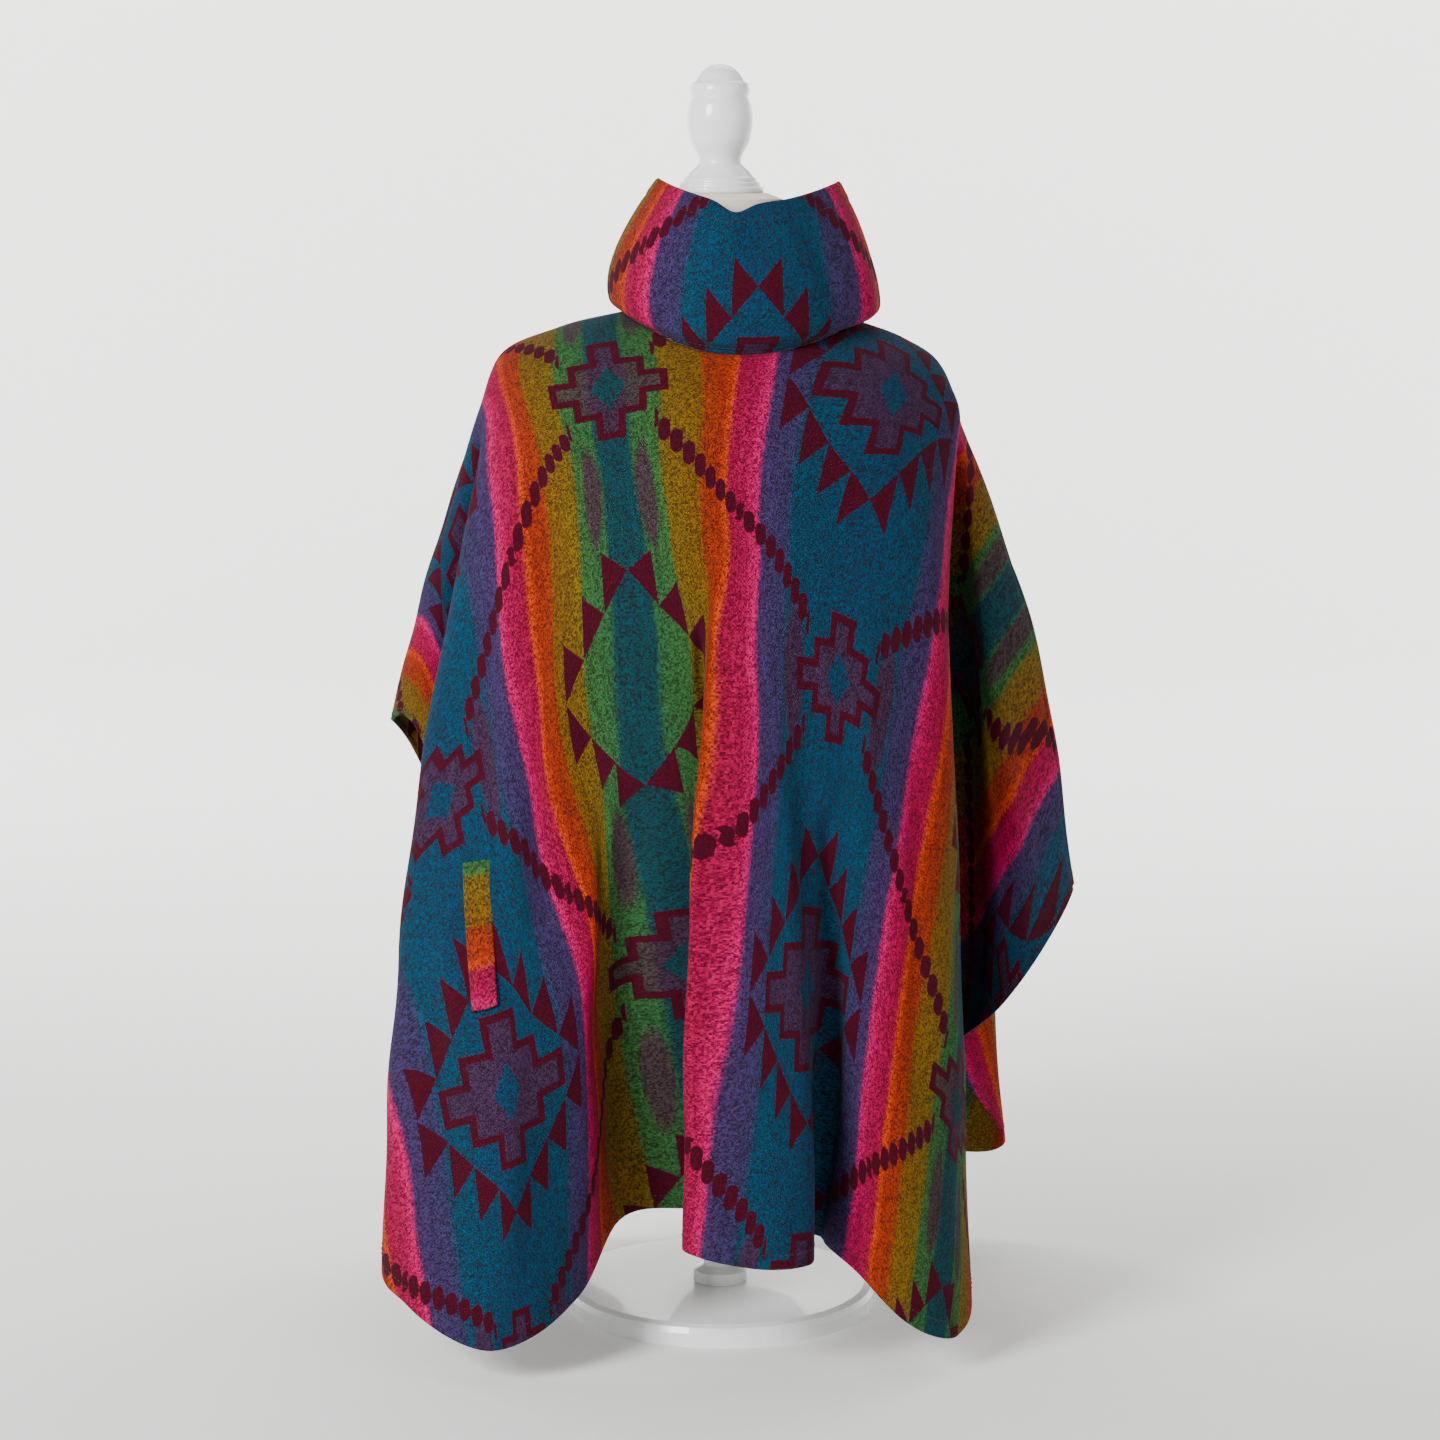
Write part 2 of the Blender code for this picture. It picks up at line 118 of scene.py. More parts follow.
SKY_LIGHTING = 0.42         # strength of the sky as a light, and as the camera sees it
SKY_SEEN = 1.4
sky = bpy.data.worlds.new("studio")
sky.use_nodes = True
sky_light = sky.node_tree.nodes["Background"].inputs["Strength"]
seen = add_node(sky.node_tree, "ShaderNodeLightPath")
sky.node_tree.links.new(
    add_node(sky.node_tree, "ShaderNodeMapRange", seen, 0.0, 1.0, SKY_LIGHTING, SKY_SEEN), sky_light)
sky.node_tree.nodes["Background"].inputs["Color"].default_value = linear_colour(0xFFFFFF)
bpy.context.scene.world = sky
SOFTBOXES = (
    ("key softbox", (-2.3, -2.7, 2.3), (0.0, 0.0, 0.65), 1.3, 205.0),
    ("fill softbox", (2.6, -2.6, 1.6), (0.0, 0.0, 0.55), 1.8, 18.0),
    ("backdrop light, left", (-2.6, 2.4, 3.4), (-1.2, 6.0, 0.9), 2.2, 330.0),
    ("backdrop light, right", (2.6, 2.4, 3.4), (1.2, 6.0, 0.9), 2.2, 330.0),
    ("top softbox", (0.3, 1.6, 3.0), (0.0, 0.0, 0.9), 1.6, 30.0),
)
for softbox_name, place, aim, side, power in SOFTBOXES:
    lamp = bpy.data.lights.new(softbox_name, "AREA")
    lamp.size = side
    lamp.energy = power
    softbox = bpy.data.objects.new(softbox_name, lamp)
    softbox.location = place
    softbox.rotation_euler = (Vector(aim) - Vector(place)).to_track_quat("-Z", "Y").to_euler()
    bpy.context.scene.collection.objects.link(softbox)

# Weave of the poncho: a plain weave of thick heathered threads, dyed in soft-edged stripes along the
# warp, with stepped crosses, toothed diamonds and bead chains in flat maroon. It is the same cloth on
# every piece, drawn from each piece's place on the flat cloth. The nap scatters light at the edges.
STRIPE_TURN = 0.258         # half of the width at which the stripes repeat
MOTIF_TURN = 0.275          # half of the height at which the motifs repeat
STRIPE_START = -0.125       # where the dark teal stripe runs, across the flat cloth
MOTIF_START = 0.130         # where the first row of crosses is, down the flat cloth
STRIPES = (
    (0.0000, 0x084048), (0.0155, 0x08444A), (0.0200, 0x2C6236), (0.0460, 0x366630),
    (0.0500, 0x745E10), (0.0830, 0x7C540E), (0.0870, 0x983610), (0.1050, 0xA03010),
    (0.1130, 0xD0440A), (0.1180, 0xA00C3C), (0.1360, 0xAC084A), (0.1470, 0xD00C64),
    (0.1520, 0x43305E), (0.1800, 0x36345C), (0.1860, 0x0A455E), (0.2580, 0x083F5C),
)
MAROON = 0x4C0A20
PLUM = 0x4A1C3C
DARK_WEFT = 0x180810
LATTICE_CROSS_STEP = 0.0185
DIAMOND_CROSS_STEP = 0.0245
CROSS_OUTLINE = 0.0075
SMALL_DIAMOND = (0.072, 0.090, 0.046)   # half width, half height and height of its teeth
LARGE_DIAMOND = (0.096, 0.120, 0.056)
TOOTH_WIDTH = 0.024
BEAD_PITCH = 0.0114
BEAD_HALF = (0.0070, 0.0112)
BEADS_FROM = 0.042
THREAD = 0.0016             # a little coarser than the real thread, so that it shows
FRAY_SCALE = (420, 160, 1)  # noise scales over the flat cloth, across and down, per metre
DRIFT_SCALE = (9, 5, 1)
FIBRE_SCALE = (900, 780, 1)
STREAK_SCALE = (260, 14, 1)
FRAY_MOTIF = 0.0020         # how far the threads stray in the motifs, in the stripes and down
FRAY_STRIPE = 0.0065
FRAY_DOWN = 0.0022
DRIFT = 0.012
OVAL_BROWN = (0.029, 0.115, 0.011, 0.056)   # place in the repeat, then half width and half height
OVAL_PURPLE = (0.198, MOTIF_TURN, 0.014, 0.064)
HEART_LATTICE = (0.0165, 0.024)             # half sizes of the lozenge in the middle of each cross
HEART_DIAMOND = (0.018, 0.029)
RELIEF = 0.0009


def woven_material(name):
    """Patterned wool that reads its place on the flat cloth from the UV map "cut"."""
    made, tree, shader = new_material(name)
    n = functools.partial(add_node, tree)
    cut = n("ShaderNodeUVMap", uv_map="cut")

    # Threads stray from their place, so that the stripes' edges are feathered and the motifs' stepped.
    fray = n("ShaderNodeTexNoise", n("ShaderNodeMapping", cut, None, None, FRAY_SCALE), None, 1.0, 2.0)
    drift = n("ShaderNodeTexNoise", n("ShaderNodeMapping", cut, None, None, DRIFT_SCALE), None, 1.0, 2.0)
    place = n("ShaderNodeSeparateXYZ", cut)
    v = n("ShaderNodeSeparateXYZ", cut, output=1)
    v = n("ADD", v, n("MULTIPLY", n("SUBTRACT", fray, 0.5), FRAY_DOWN))
    u_motif = n("ADD", place, n("MULTIPLY", n("SUBTRACT", fray, 0.5), FRAY_MOTIF))
    u_stripe = n("ADD", n("ADD", place, n("MULTIPLY", n("SUBTRACT", fray, 0.5), FRAY_STRIPE)),
                 n("MULTIPLY", n("SUBTRACT", drift, 0.5), DRIFT))
    stripe_at = n("PINGPONG", n("SUBTRACT", u_stripe, STRIPE_START), STRIPE_TURN)
    x = n("PINGPONG", n("SUBTRACT", u_motif, STRIPE_START), STRIPE_TURN)
    y = n("PINGPONG", n("SUBTRACT", v, MOTIF_START), MOTIF_TURN)

    ramp = tree.nodes.new("ShaderNodeValToRGB")
    ramp.color_ramp.interpolation = "LINEAR"
    while len(ramp.color_ramp.elements) > 1:
        ramp.color_ramp.elements.remove(ramp.color_ramp.elements[0])
    for k, (position, colour) in enumerate(STRIPES):
        stop = ramp.color_ramp.elements[0] if k == 0 else ramp.color_ramp.elements.new(1.0)
        stop.position = position / STRIPE_TURN
        stop.color = linear_colour(colour)
    tree.links.new(n("DIVIDE", stripe_at, STRIPE_TURN), ramp.inputs[0])
    stripes = ramp.outputs[0]

    def below(value, limit, soft=0.0004):
        """1 where value is below limit and 0 above it, with a soft edge."""
        return n("ShaderNodeMapRange", n("SUBTRACT", value, limit), -soft, soft, 1.0, 0.0)

    def box_distance(dx, dy, half_x, half_y):
        return n("MAXIMUM", n("SUBTRACT", dx, half_x), n("SUBTRACT", dy, half_y))

    def cross_distance(dx, dy, step):
        """Distance outside a stepped cross of three overlapping boxes."""
        tall = box_distance(dx, dy, 0.8 * step, 3.0 * step)
        square = box_distance(dx, dy, 1.9 * step, 1.75 * step)
        wide = box_distance(dx, dy, 3.0 * step, 0.75 * step)
        return n("MINIMUM", n("MINIMUM", tall, square), wide)

    # The nearer cross of the lattice, and the nearer diamond.
    far_cross = n("GREATER_THAN", n("ADD", n("DIVIDE", x, STRIPE_TURN), n("DIVIDE", y, MOTIF_TURN)), 1.0)
    cross_x = n("ABSOLUTE", n("SUBTRACT", x, n("MULTIPLY", far_cross, STRIPE_TURN)))
    cross_y = n("ABSOLUTE", n("SUBTRACT", y, n("MULTIPLY", far_cross, MOTIF_TURN)))
    small = n("GREATER_THAN", n("DIVIDE", y, MOTIF_TURN), n("DIVIDE", x, STRIPE_TURN))
    large = n("SUBTRACT", 1.0, small)
    side = n("ABSOLUTE", n("SUBTRACT", x, n("MULTIPLY", large, STRIPE_TURN)))
    rise = n("ABSOLUTE", n("SUBTRACT", y, n("MULTIPLY", small, MOTIF_TURN)))
    half_width, half_height, tooth_height = (
        n("ADD", big, n("MULTIPLY", small, little - big))
        for little, big in zip(SMALL_DIAMOND, LARGE_DIAMOND))

    edge = n("MULTIPLY", half_height, n("SUBTRACT", 1.0, n("DIVIDE", side, half_width)))
    above = n("SUBTRACT", rise, edge)
    tooth = n("MULTIPLY", n("FRACT", n("DIVIDE", side, TOOTH_WIDTH)), tooth_height)
    teeth = n("MULTIPLY", n("MULTIPLY", below(above, tooth, 0.0008), below(0.0, above)),
              below(side, half_width))

    bead_index = n("ADD", n("FLOOR", n("DIVIDE", cross_x, BEAD_PITCH)), 0.5)
    bead_x = n("DIVIDE", n("SUBTRACT", cross_x, n("MULTIPLY", bead_index, BEAD_PITCH)), BEAD_HALF[0])
    bead_y = n("SUBTRACT", cross_y, n("MULTIPLY", bead_index, BEAD_PITCH * MOTIF_TURN / STRIPE_TURN))
    bead_y = n("DIVIDE", bead_y, BEAD_HALF[1])
    bead = n("SQRT", n("ADD", n("POWER", n("ABSOLUTE", bead_x), 2.0),
                       n("POWER", n("ABSOLUTE", bead_y), 2.0)))
    beads = n("MULTIPLY", below(bead, 1.0, 0.06), below(BEADS_FROM, cross_x))

    lattice = cross_distance(cross_x, cross_y, LATTICE_CROSS_STEP)
    inset = n("ADD", cross_distance(side, rise, DIAMOND_CROSS_STEP), n("MULTIPLY", small, 1.0))
    cross = n("MINIMUM", lattice, inset)
    outline = n("MULTIPLY", below(cross, 0.0), below(-CROSS_OUTLINE, cross))
    filled = below(cross, -CROSS_OUTLINE)
    heart = n("MINIMUM",
              n("ADD", n("DIVIDE", cross_x, HEART_LATTICE[0]), n("DIVIDE", cross_y, HEART_LATTICE[1])),
              n("ADD", n("ADD", n("DIVIDE", side, HEART_DIAMOND[0]), n("DIVIDE", rise, HEART_DIAMOND[1])),
                n("MULTIPLY", small, 9.0)))
    filled = n("MULTIPLY", filled, below(1.0, heart, 0.06))

    # Soft ovals of a second dye beside the crosses.
    def oval_distance(middle_x, middle_y, half_x, half_y):
        return n("ADD",
                 n("POWER", n("ABSOLUTE", n("DIVIDE", n("SUBTRACT", x, middle_x), half_x)), 2.0),
                 n("POWER", n("ABSOLUTE", n("DIVIDE", n("SUBTRACT", y, middle_y), half_y)), 2.0))

    oval = n("MINIMUM", oval_distance(*OVAL_BROWN), oval_distance(*OVAL_PURPLE))
    oval = n("ShaderNodeMapRange", oval, 0.55, 1.15, 0.75, 0.0)

    # Heathered threads: each crossing of two threads has its own shade, and dark fibres run through.
    threads = n("ShaderNodeMapping", cut, None, None, (1 / THREAD, 1 / THREAD, 1))
    crossing = n("ShaderNodeVectorMath", threads, operation="FLOOR")
    shade = n("ShaderNodeTexWhiteNoise", crossing, noise_dimensions="2D")
    fibre = n("ShaderNodeMapping", cut, None, None, FIBRE_SCALE)
    fibre = n("ShaderNodeTexNoise", fibre, None, 1.0, 2.0, 0.6)
    streak = n("ShaderNodeMapping", cut, None, None, STREAK_SCALE)
    streak = n("ShaderNodeTexNoise", streak, None, 1.0, 3.0, 0.6)
    heather = n("ADD", n("MULTIPLY", shade, 0.45), n("MULTIPLY", fibre, 1.0))
    heather = n("ShaderNodeMapRange", heather, 0.40, 0.98, 0.05, 0.95)
    heather = n("MULTIPLY", heather, n("ShaderNodeMapRange", streak, 0.3, 0.7, 0.82, 1.15))
    quiet = n("ADD", 0.42, n("MULTIPLY", heather, 0.35))

    def mix(factor, first, second, blend="MIX"):
        made_mix = tree.nodes.new("ShaderNodeMix")
        made_mix.data_type = "RGBA"
        made_mix.blend_type = blend
        for socket, value in ((0, factor), (6, first), (7, second)):
            if isinstance(value, bpy.types.NodeSocket):
                tree.links.new(value, made_mix.inputs[socket])
            else:
                made_mix.inputs[socket].default_value = value
        return made_mix.outputs[2]

    plum = linear_colour(PLUM)
    maroon = linear_colour(MAROON)
    ground = mix(oval, stripes, plum)
    ground = mix(n("MULTIPLY", filled, 0.72), ground, plum)
    ground = mix(heather, linear_colour(DARK_WEFT), ground)
    flat = mix(1.0, maroon, n("ShaderNodeCombineXYZ", quiet, quiet, quiet), "MULTIPLY")
    figure = n("MAXIMUM", n("MAXIMUM", teeth, beads), outline)
    colour = mix(figure, ground, flat)
    tree.links.new(colour, shader.inputs["Base Color"])

    # Thread relief: rounded crossings, alternately over and under, with loose fibres on top.
    wave_u = n("SINE", n("MULTIPLY", place, math.pi / THREAD))
    wave_v = n("SINE", n("MULTIPLY", n("ShaderNodeSeparateXYZ", cut, output=1), math.pi / THREAD))
    relief = n("ADD", n("MULTIPLY", n("MULTIPLY", wave_u, wave_v), 0.5), n("MULTIPLY", fibre, 1.2))
    bump = tree.nodes.new("ShaderNodeBump")
    bump.inputs["Strength"].default_value = 0.55
    bump.inputs["Distance"].default_value = RELIEF
    tree.links.new(relief, bump.inputs["Height"])
    tree.links.new(bump.outputs[0], shader.inputs["Normal"])
    shader.inputs["Roughness"].default_value = 0.93
    shader.inputs["Specular IOR Level"].default_value = 0.06
    shader.inputs["Sheen Weight"].default_value = 0.02
    shader.inputs["Sheen Roughness"].default_value = 0.5
    return made


# Poncho cloth, front and back: one blanket weight of napped wool-look weave, cut as two halves that
# are sewn along the shoulders. It hangs from the form's shoulders in deep folds, its hem turned under.
# The rings and folds are those of the solid, so that the cloth lies on its solid's form.
SHOULDER_RINGS = (
    ("neck seam", -0.088, 0.128, -0.098, 0.088, 0.957, 0.948, 0.9205, 0.950),
    ("shoulder slope", -0.150, 0.172, -0.126, 0.112, 0.942, 0.931, 0.878, 0.922),
    ("shoulder edge", -0.203, 0.206, -0.150, 0.136, 0.917, 0.907, 0.815, 0.868),
    ("drop", -0.226, 0.227, -0.166, 0.152, 0.868, 0.858, 0.740, 0.795),
)
# name, bearing on the shoulders in degrees, then x, y and z at the hem, tuck, start and bow.
FOLDS = (
    ("centre fold left edge", -3, -0.030, -0.262, 0.129, 0.010, 1.0, 0.010),
    ("centre fold middle", 4, 0.027, -0.275, 0.116, 0.000, 1.0, 0.012),
    ("centre fold right edge", 12, 0.079, -0.262, 0.115, 0.000, 1.0, 0.010),
    ("right valley", 19, 0.086, -0.170, 0.112, 0.080, 2.6, 0.012),
    ("right lobe inner side", 28, 0.120, -0.215, 0.098, 0.030, 2.0, 0.012),
    ("right lobe front", 42, 0.170, -0.245, 0.055, 0.000, 1.0, 0.012),
    ("right lobe corner", 58, 0.217, -0.215, 0.034, 0.000, 1.0, 0.010),
    ("right edge fold", 69, 0.230, -0.155, 0.070, 0.000, 1.0, -0.008),
    ("right front recess", 77, 0.180, 0.030, 0.200, 0.100, 0.5, 0.000),
    ("right flap front", 84, 0.275, -0.045, 0.312, 0.000, 1.0, 0.004),
    ("right flap outer", 90, 0.343, 0.045, 0.400, 0.000, 1.0, 0.016),
    ("right flap back", 97, 0.305, 0.105, 0.380, 0.000, 1.0, 0.010),
    ("right back recess", 105, 0.215, 0.100, 0.260, 0.080, 0.7, 0.000),
    ("back right corner", 118, 0.290, 0.190, 0.105, 0.000, 1.0, 0.010),
    ("back right lobe", 134, 0.190, 0.250, 0.090, 0.000, 1.0, 0.012),
    ("back right valley", 150, 0.120, 0.170, 0.140, 0.080, 2.2, 0.010),
    ("back centre right", 163, 0.070, 0.262, 0.120, 0.000, 1.0, 0.012),
    ("back centre left", 180, -0.020, 0.272, 0.115, 0.000, 1.0, 0.012),
    ("back left valley", 196, -0.070, 0.180, 0.130, 0.080, 2.4, 0.010),
    ("back left lobe inner", 208, -0.120, 0.245, 0.110, 0.010, 1.4, 0.012),
    ("back left lobe", 224, -0.200, 0.255, 0.080, 0.000, 1.0, 0.012),
    ("back left corner", 240, -0.275, 0.190, 0.085, 0.000, 1.0, 0.010),
    ("left back recess", 254, -0.215, 0.105, 0.330, 0.080, 0.7, 0.000),
    ("left flap back", 263, -0.295, 0.085, 0.520, 0.000, 1.0, 0.008),
    ("left flap outer", 270, -0.316, 0.025, 0.568, 0.000, 1.0, 0.002),
    ("left flap front", 276, -0.280, -0.015, 0.548, 0.000, 1.0, 0.006),
    ("left front recess", 282, -0.215, -0.030, 0.330, 0.060, 0.7, 0.000),
    ("left edge fold", 290, -0.309, -0.150, 0.110, 0.000, 1.0, 0.026),
    ("left lobe corner", 302, -0.285, -0.215, 0.062, 0.000, 1.0, 0.022),
    ("left lobe front", 318, -0.205, -0.262, 0.035, 0.000, 1.0, 0.016),
    ("left lobe inner side", 334, -0.128, -0.222, 0.072, 0.020, 2.0, 0.012),
    ("left valley", 344, -0.090, -0.150, 0.122, 0.090, 2.2, 0.012),
    ("left tuck", 351, -0.010, -0.145, 0.132, 0.110, 1.8, 0.012),
)
# Where each of those folds lies on the flat cloth: its bearing at the neck in degrees, then u across
# and v down a third of the way from the drop to the hem, two thirds of the way, and at the hem.
FLAT_PLACES = (
    (-7, -0.040, 0.458, -0.030, 0.682, -0.026, 0.915),
    (0.5, -0.010, 0.460, 0.012, 0.690, 0.055, 0.930),
    (8, 0.048, 0.456, 0.104, 0.690, 0.130, 0.930),
    (15, 0.101, 0.448, 0.165, 0.680, 0.190, 0.920),
    (23, 0.152, 0.432, 0.218, 0.674, 0.250, 0.920),
    (33, 0.212, 0.385, 0.289, 0.647, 0.340, 0.925),
    (50, 0.266, 0.320, 0.362, 0.596, 0.440, 0.890),
    (64, 0.305, 0.235, 0.420, 0.499, 0.520, 0.780),
    (74, 0.335, 0.150, 0.461, 0.346, 0.580, 0.560),
    (83, 0.350, 0.046, 0.481, 0.082, 0.615, 0.120),
    (90, 0.357, 0.000, 0.493, 0.000, 0.635, 0.000),
    (97, 0.352, -0.052, 0.486, -0.094, 0.620, -0.140),
    (105, 0.327, -0.182, 0.462, -0.397, 0.580, -0.600),
    (118, 0.288, -0.248, 0.395, -0.510, 0.500, -0.800),
    (134, 0.231, -0.341, 0.305, -0.630, 0.380, -0.900),
    (150, 0.162, -0.389, 0.203, -0.666, 0.240, -0.920),
    (163, 0.091, -0.416, 0.105, -0.684, 0.120, -0.930),
    (180, 0.000, -0.432, 0.000, -0.693, 0.000, -0.940),
    (196, -0.096, -0.423, -0.114, -0.683, -0.120, -0.930),
    (208, -0.163, -0.401, -0.201, -0.665, -0.230, -0.920),
    (224, -0.249, -0.355, -0.322, -0.629, -0.380, -0.900),
    (240, -0.312, -0.262, -0.411, -0.504, -0.500, -0.780),
    (254, -0.356, -0.156, -0.476, -0.316, -0.570, -0.500),
    (263, -0.354, -0.064, -0.470, -0.117, -0.590, -0.170),
    (270, -0.357, 0.009, -0.476, 0.023, -0.600, 0.030),
    (276, -0.354, 0.056, -0.470, 0.107, -0.590, 0.160),
    (282, -0.353, 0.138, -0.466, 0.292, -0.570, 0.460),
    (290, -0.335, 0.235, -0.454, 0.477, -0.550, 0.760),
    (301.5, -0.315, 0.315, -0.435, 0.568, -0.505, 0.840),
    (315.5, -0.246, 0.395, -0.366, 0.624, -0.420, 0.930),
    (331, -0.166, 0.428, -0.274, 0.650, -0.290, 0.920),
    (340.5, -0.127, 0.437, -0.165, 0.680, -0.190, 0.920),
    (347, -0.076, 0.452, -0.098, 0.695, -0.100, 0.930),
)
SHOULDER_LEVELS = len(SHOULDER_RINGS) - 1
HANGING_RINGS = 6
HEM_LEVEL = SHOULDER_LEVELS + HANGING_RINGS
RIGHT_SEAM = 10
LEFT_SEAM = 24
CLOTH_WALL = 0.002
SEAM_GAP = 0.0003
NECK_RADIUS = 0.10          # flat cloth: radius of the neck opening
NECK_EASE = 1.10            # flat cloth that goes into each metre of shoulder
FLAT_STEP = HEM_LEVEL / 4   # levels from one row of places on the flat cloth to the next

SEAM_WIDTH = 0.006          # a crease narrower than this is a seam, which doesn't taper
# Creases and soft folds that the solids leave out, on the flat cloth: start and end as (u, v), then
# half width and height in metres, a trough where negative. They taper to both ends, but for seams.
CREASES = (
    ("left shoulder fold", -0.235, 0.20, -0.335, 0.56, 0.016, 0.006),
    ("left shoulder fold, trough", -0.205, 0.24, -0.290, 0.58, 0.018, -0.005),
    ("left chest fold", -0.160, 0.36, -0.215, 0.72, 0.018, -0.005),
    ("left chest swell", -0.120, 0.34, -0.160, 0.74, 0.026, 0.005),
    ("centre chest trough", -0.045, 0.28, -0.055, 0.60, 0.020, -0.004),
    ("centre right trough", 0.080, 0.30, 0.120, 0.62, 0.018, -0.004),
    ("right chest swell", 0.150, 0.28, 0.215, 0.64, 0.024, 0.005),
    ("right lobe trough", 0.235, 0.34, 0.330, 0.74, 0.018, -0.005),
    ("right edge ripple", 0.330, 0.34, 0.440, 0.70, 0.018, 0.004),
    ("storage crease, right", -0.010, 0.500, 0.115, 0.490, 0.004, -0.0012),
    ("left lobe ripple", -0.440, 0.50, -0.470, 0.86, 0.018, -0.005),
    ("left lobe swell", -0.370, 0.60, -0.400, 0.90, 0.024, 0.005),
    ("left flap ripple", -0.330, 0.08, -0.560, 0.17, 0.016, -0.004),
    ("right flap, deep trough", 0.400, 0.03, 0.620, 0.03, 0.018, -0.006),
    ("right flap ripple, upper", 0.330, 0.06, 0.600, 0.10, 0.016, -0.006),
    ("right flap ripple, lower", 0.380, -0.02, 0.620, -0.04, 0.020, 0.006),
    ("right flap dent", 0.500, 0.18, 0.600, 0.26, 0.016, -0.006),
    ("back left fold", -0.220, -0.24, -0.330, -0.60, 0.018, 0.006),
    ("back left trough", -0.180, -0.28, -0.240, -0.70, 0.018, -0.005),
    ("back centre fold", -0.050, -0.30, -0.060, -0.78, 0.022, -0.005),
    ("back centre swell", 0.040, -0.26, 0.060, -0.72, 0.026, 0.005),
    ("back right trough", 0.140, -0.28, 0.190, -0.66, 0.018, -0.005),
    ("back right fold", 0.240, -0.24, 0.330, -0.62, 0.018, 0.006),
    ("right shoulder seam", 0.100, 0.000, 0.635, 0.000, 0.0045, -0.0016),
    ("left shoulder seam", -0.100, 0.000, -0.600, 0.030, 0.0045, -0.0016),
)
# Tucks too narrow to model open: fold index where they start and at the hem, width in folds, flat
# cloth hidden in metres, and the levels from which and at which it is all hidden.
TUCKS = (
    ("centre fold, left edge", 33.20, 32.62, 0.07, 0.038, 2.8, 3.9),
    ("centre fold, deeper below", 32.95, 32.62, 0.07, 0.014, 4.4, 6.2),
    ("left chest", 29.20, 29.20, 0.12, 0.016, 3.2, 4.8),
)
# Pleats where the cloth doubles back between two folds: fold index and levels at both ends, half
# width in folds, and height in metres.
PLEATS = (
    ("beside the right flap", 8.30, 3.3, 8.40, 9.4, 0.34, -0.055),
    ("beside the left flap", 25.80, 3.4, 25.70, 9.0, 0.24, -0.020),
    ("centre fold, tucked edge", 32.70, 3.6, 32.45, 8.8, 0.18, -0.022),
    ("centre fold, left rim", 33.08, 3.6, 33.00, 9.4, 0.18, 0.008),
    ("centre fold, right rim", 34.90, 5.0, 35.20, 9.4, 0.25, 0.005),
    ("right valley", 36.10, 5.2, 36.00, 9.4, 0.28, -0.020),
    ("left valley", 31.20, 5.0, 31.20, 9.2, 0.26, -0.018),
    ("back right flap", 12.10, 3.4, 12.20, 9.2, 0.26, -0.020),
    ("back left flap", 21.80, 3.4, 21.80, 9.2, 0.26, -0.016),
    ("back left valley", 18.10, 4.6, 18.00, 9.2, 0.24, -0.010),
    ("back right valley", 15.05, 4.6, 15.00, 9.2, 0.24, -0.010),
)


def spline(points, at, periodic):
    """Catmull-Rom curve through points, read at the fractional indices in at."""
    points = np.asarray(points, float)
    at = np.asarray(at, float)
    index = np.floor(at).astype(int)
    if periodic:
        before, first, second, after = (points[(index + k) % len(points)] for k in (-1, 0, 1, 2))
    else:
        index = np.clip(index, 0, len(points) - 2)
        padded = np.concatenate([
            [2 * points[0] - points[1]],
            points,
            [2 * points[-1] - points[-2]],
        ])
        before, first, second, after = (padded[index + k] for k in (0, 1, 2, 3))
    part = (at - index).reshape((-1,) + (1,) * (points.ndim - 1))
    return 0.5 * (
        2 * first
        + (second - before) * part
        + (2 * before - 5 * first + 4 * second - after) * part ** 2
        + (3 * first - before - 3 * second + after) * part ** 3
    )


def ring_points(ring, bearing):
    """Points of one table ring at bearings in radians from the centre front towards +X."""
    left, right, front, back, z_left, z_right, z_front, z_back = ring[1:]
    across = np.sin(bearing)
    along = np.cos(bearing)
    x = (left + right) / 2 + (right - left) / 2 * across
    y = np.where(along > 0, front * along, -back * along)
    z_side = (z_left + z_right) / 2 + (z_right - z_left) / 2 * across
    z_face = np.where(along > 0, z_front, z_back)
    z = z_side + (z_face - z_side) * along ** 2
    return np.stack([x, y, z], axis=-1)


def fold_bearings(at, turn):
    """Bearing in radians at fractional fold indices, from one bearing for each fold in degrees."""
    lap = np.concatenate([[turn[-1] - 360], turn, [turn[0] + 360, turn[1] + 360]])
    return np.radians(spline(lap, np.mod(at, len(FOLDS)) + 1, False))


def cloth_points(at, levels):
    """Grid of points on the cloth's outer face, levels by fold indices, as the solids have it."""
    bearing = fold_bearings(at, [fold[1] for fold in FOLDS])
    rings = [ring_points(ring, bearing) for ring in SHOULDER_RINGS]
    row = spline([fold[2:8] for fold in FOLDS], at, True)
    hem = row[:, 0:3]
    tuck = row[:, 3:4]
    start = row[:, 4:5]
    bow = row[:, 5:6]
    outward = hem * np.array([1, 1, 0])
    outward /= np.linalg.norm(outward, axis=1, keepdims=True)
    drop_ring = rings[-1]
    hang = hem + outward * tuck
    for ring in range(1, HANGING_RINGS + 1):
        drop = ring / HANGING_RINGS
        point = drop_ring + (hang - drop_ring) * drop
        swell = bow * math.sin(math.pi * drop) - tuck * drop ** start
        rings.append(point + outward * swell)
    return spline(rings, levels, False)


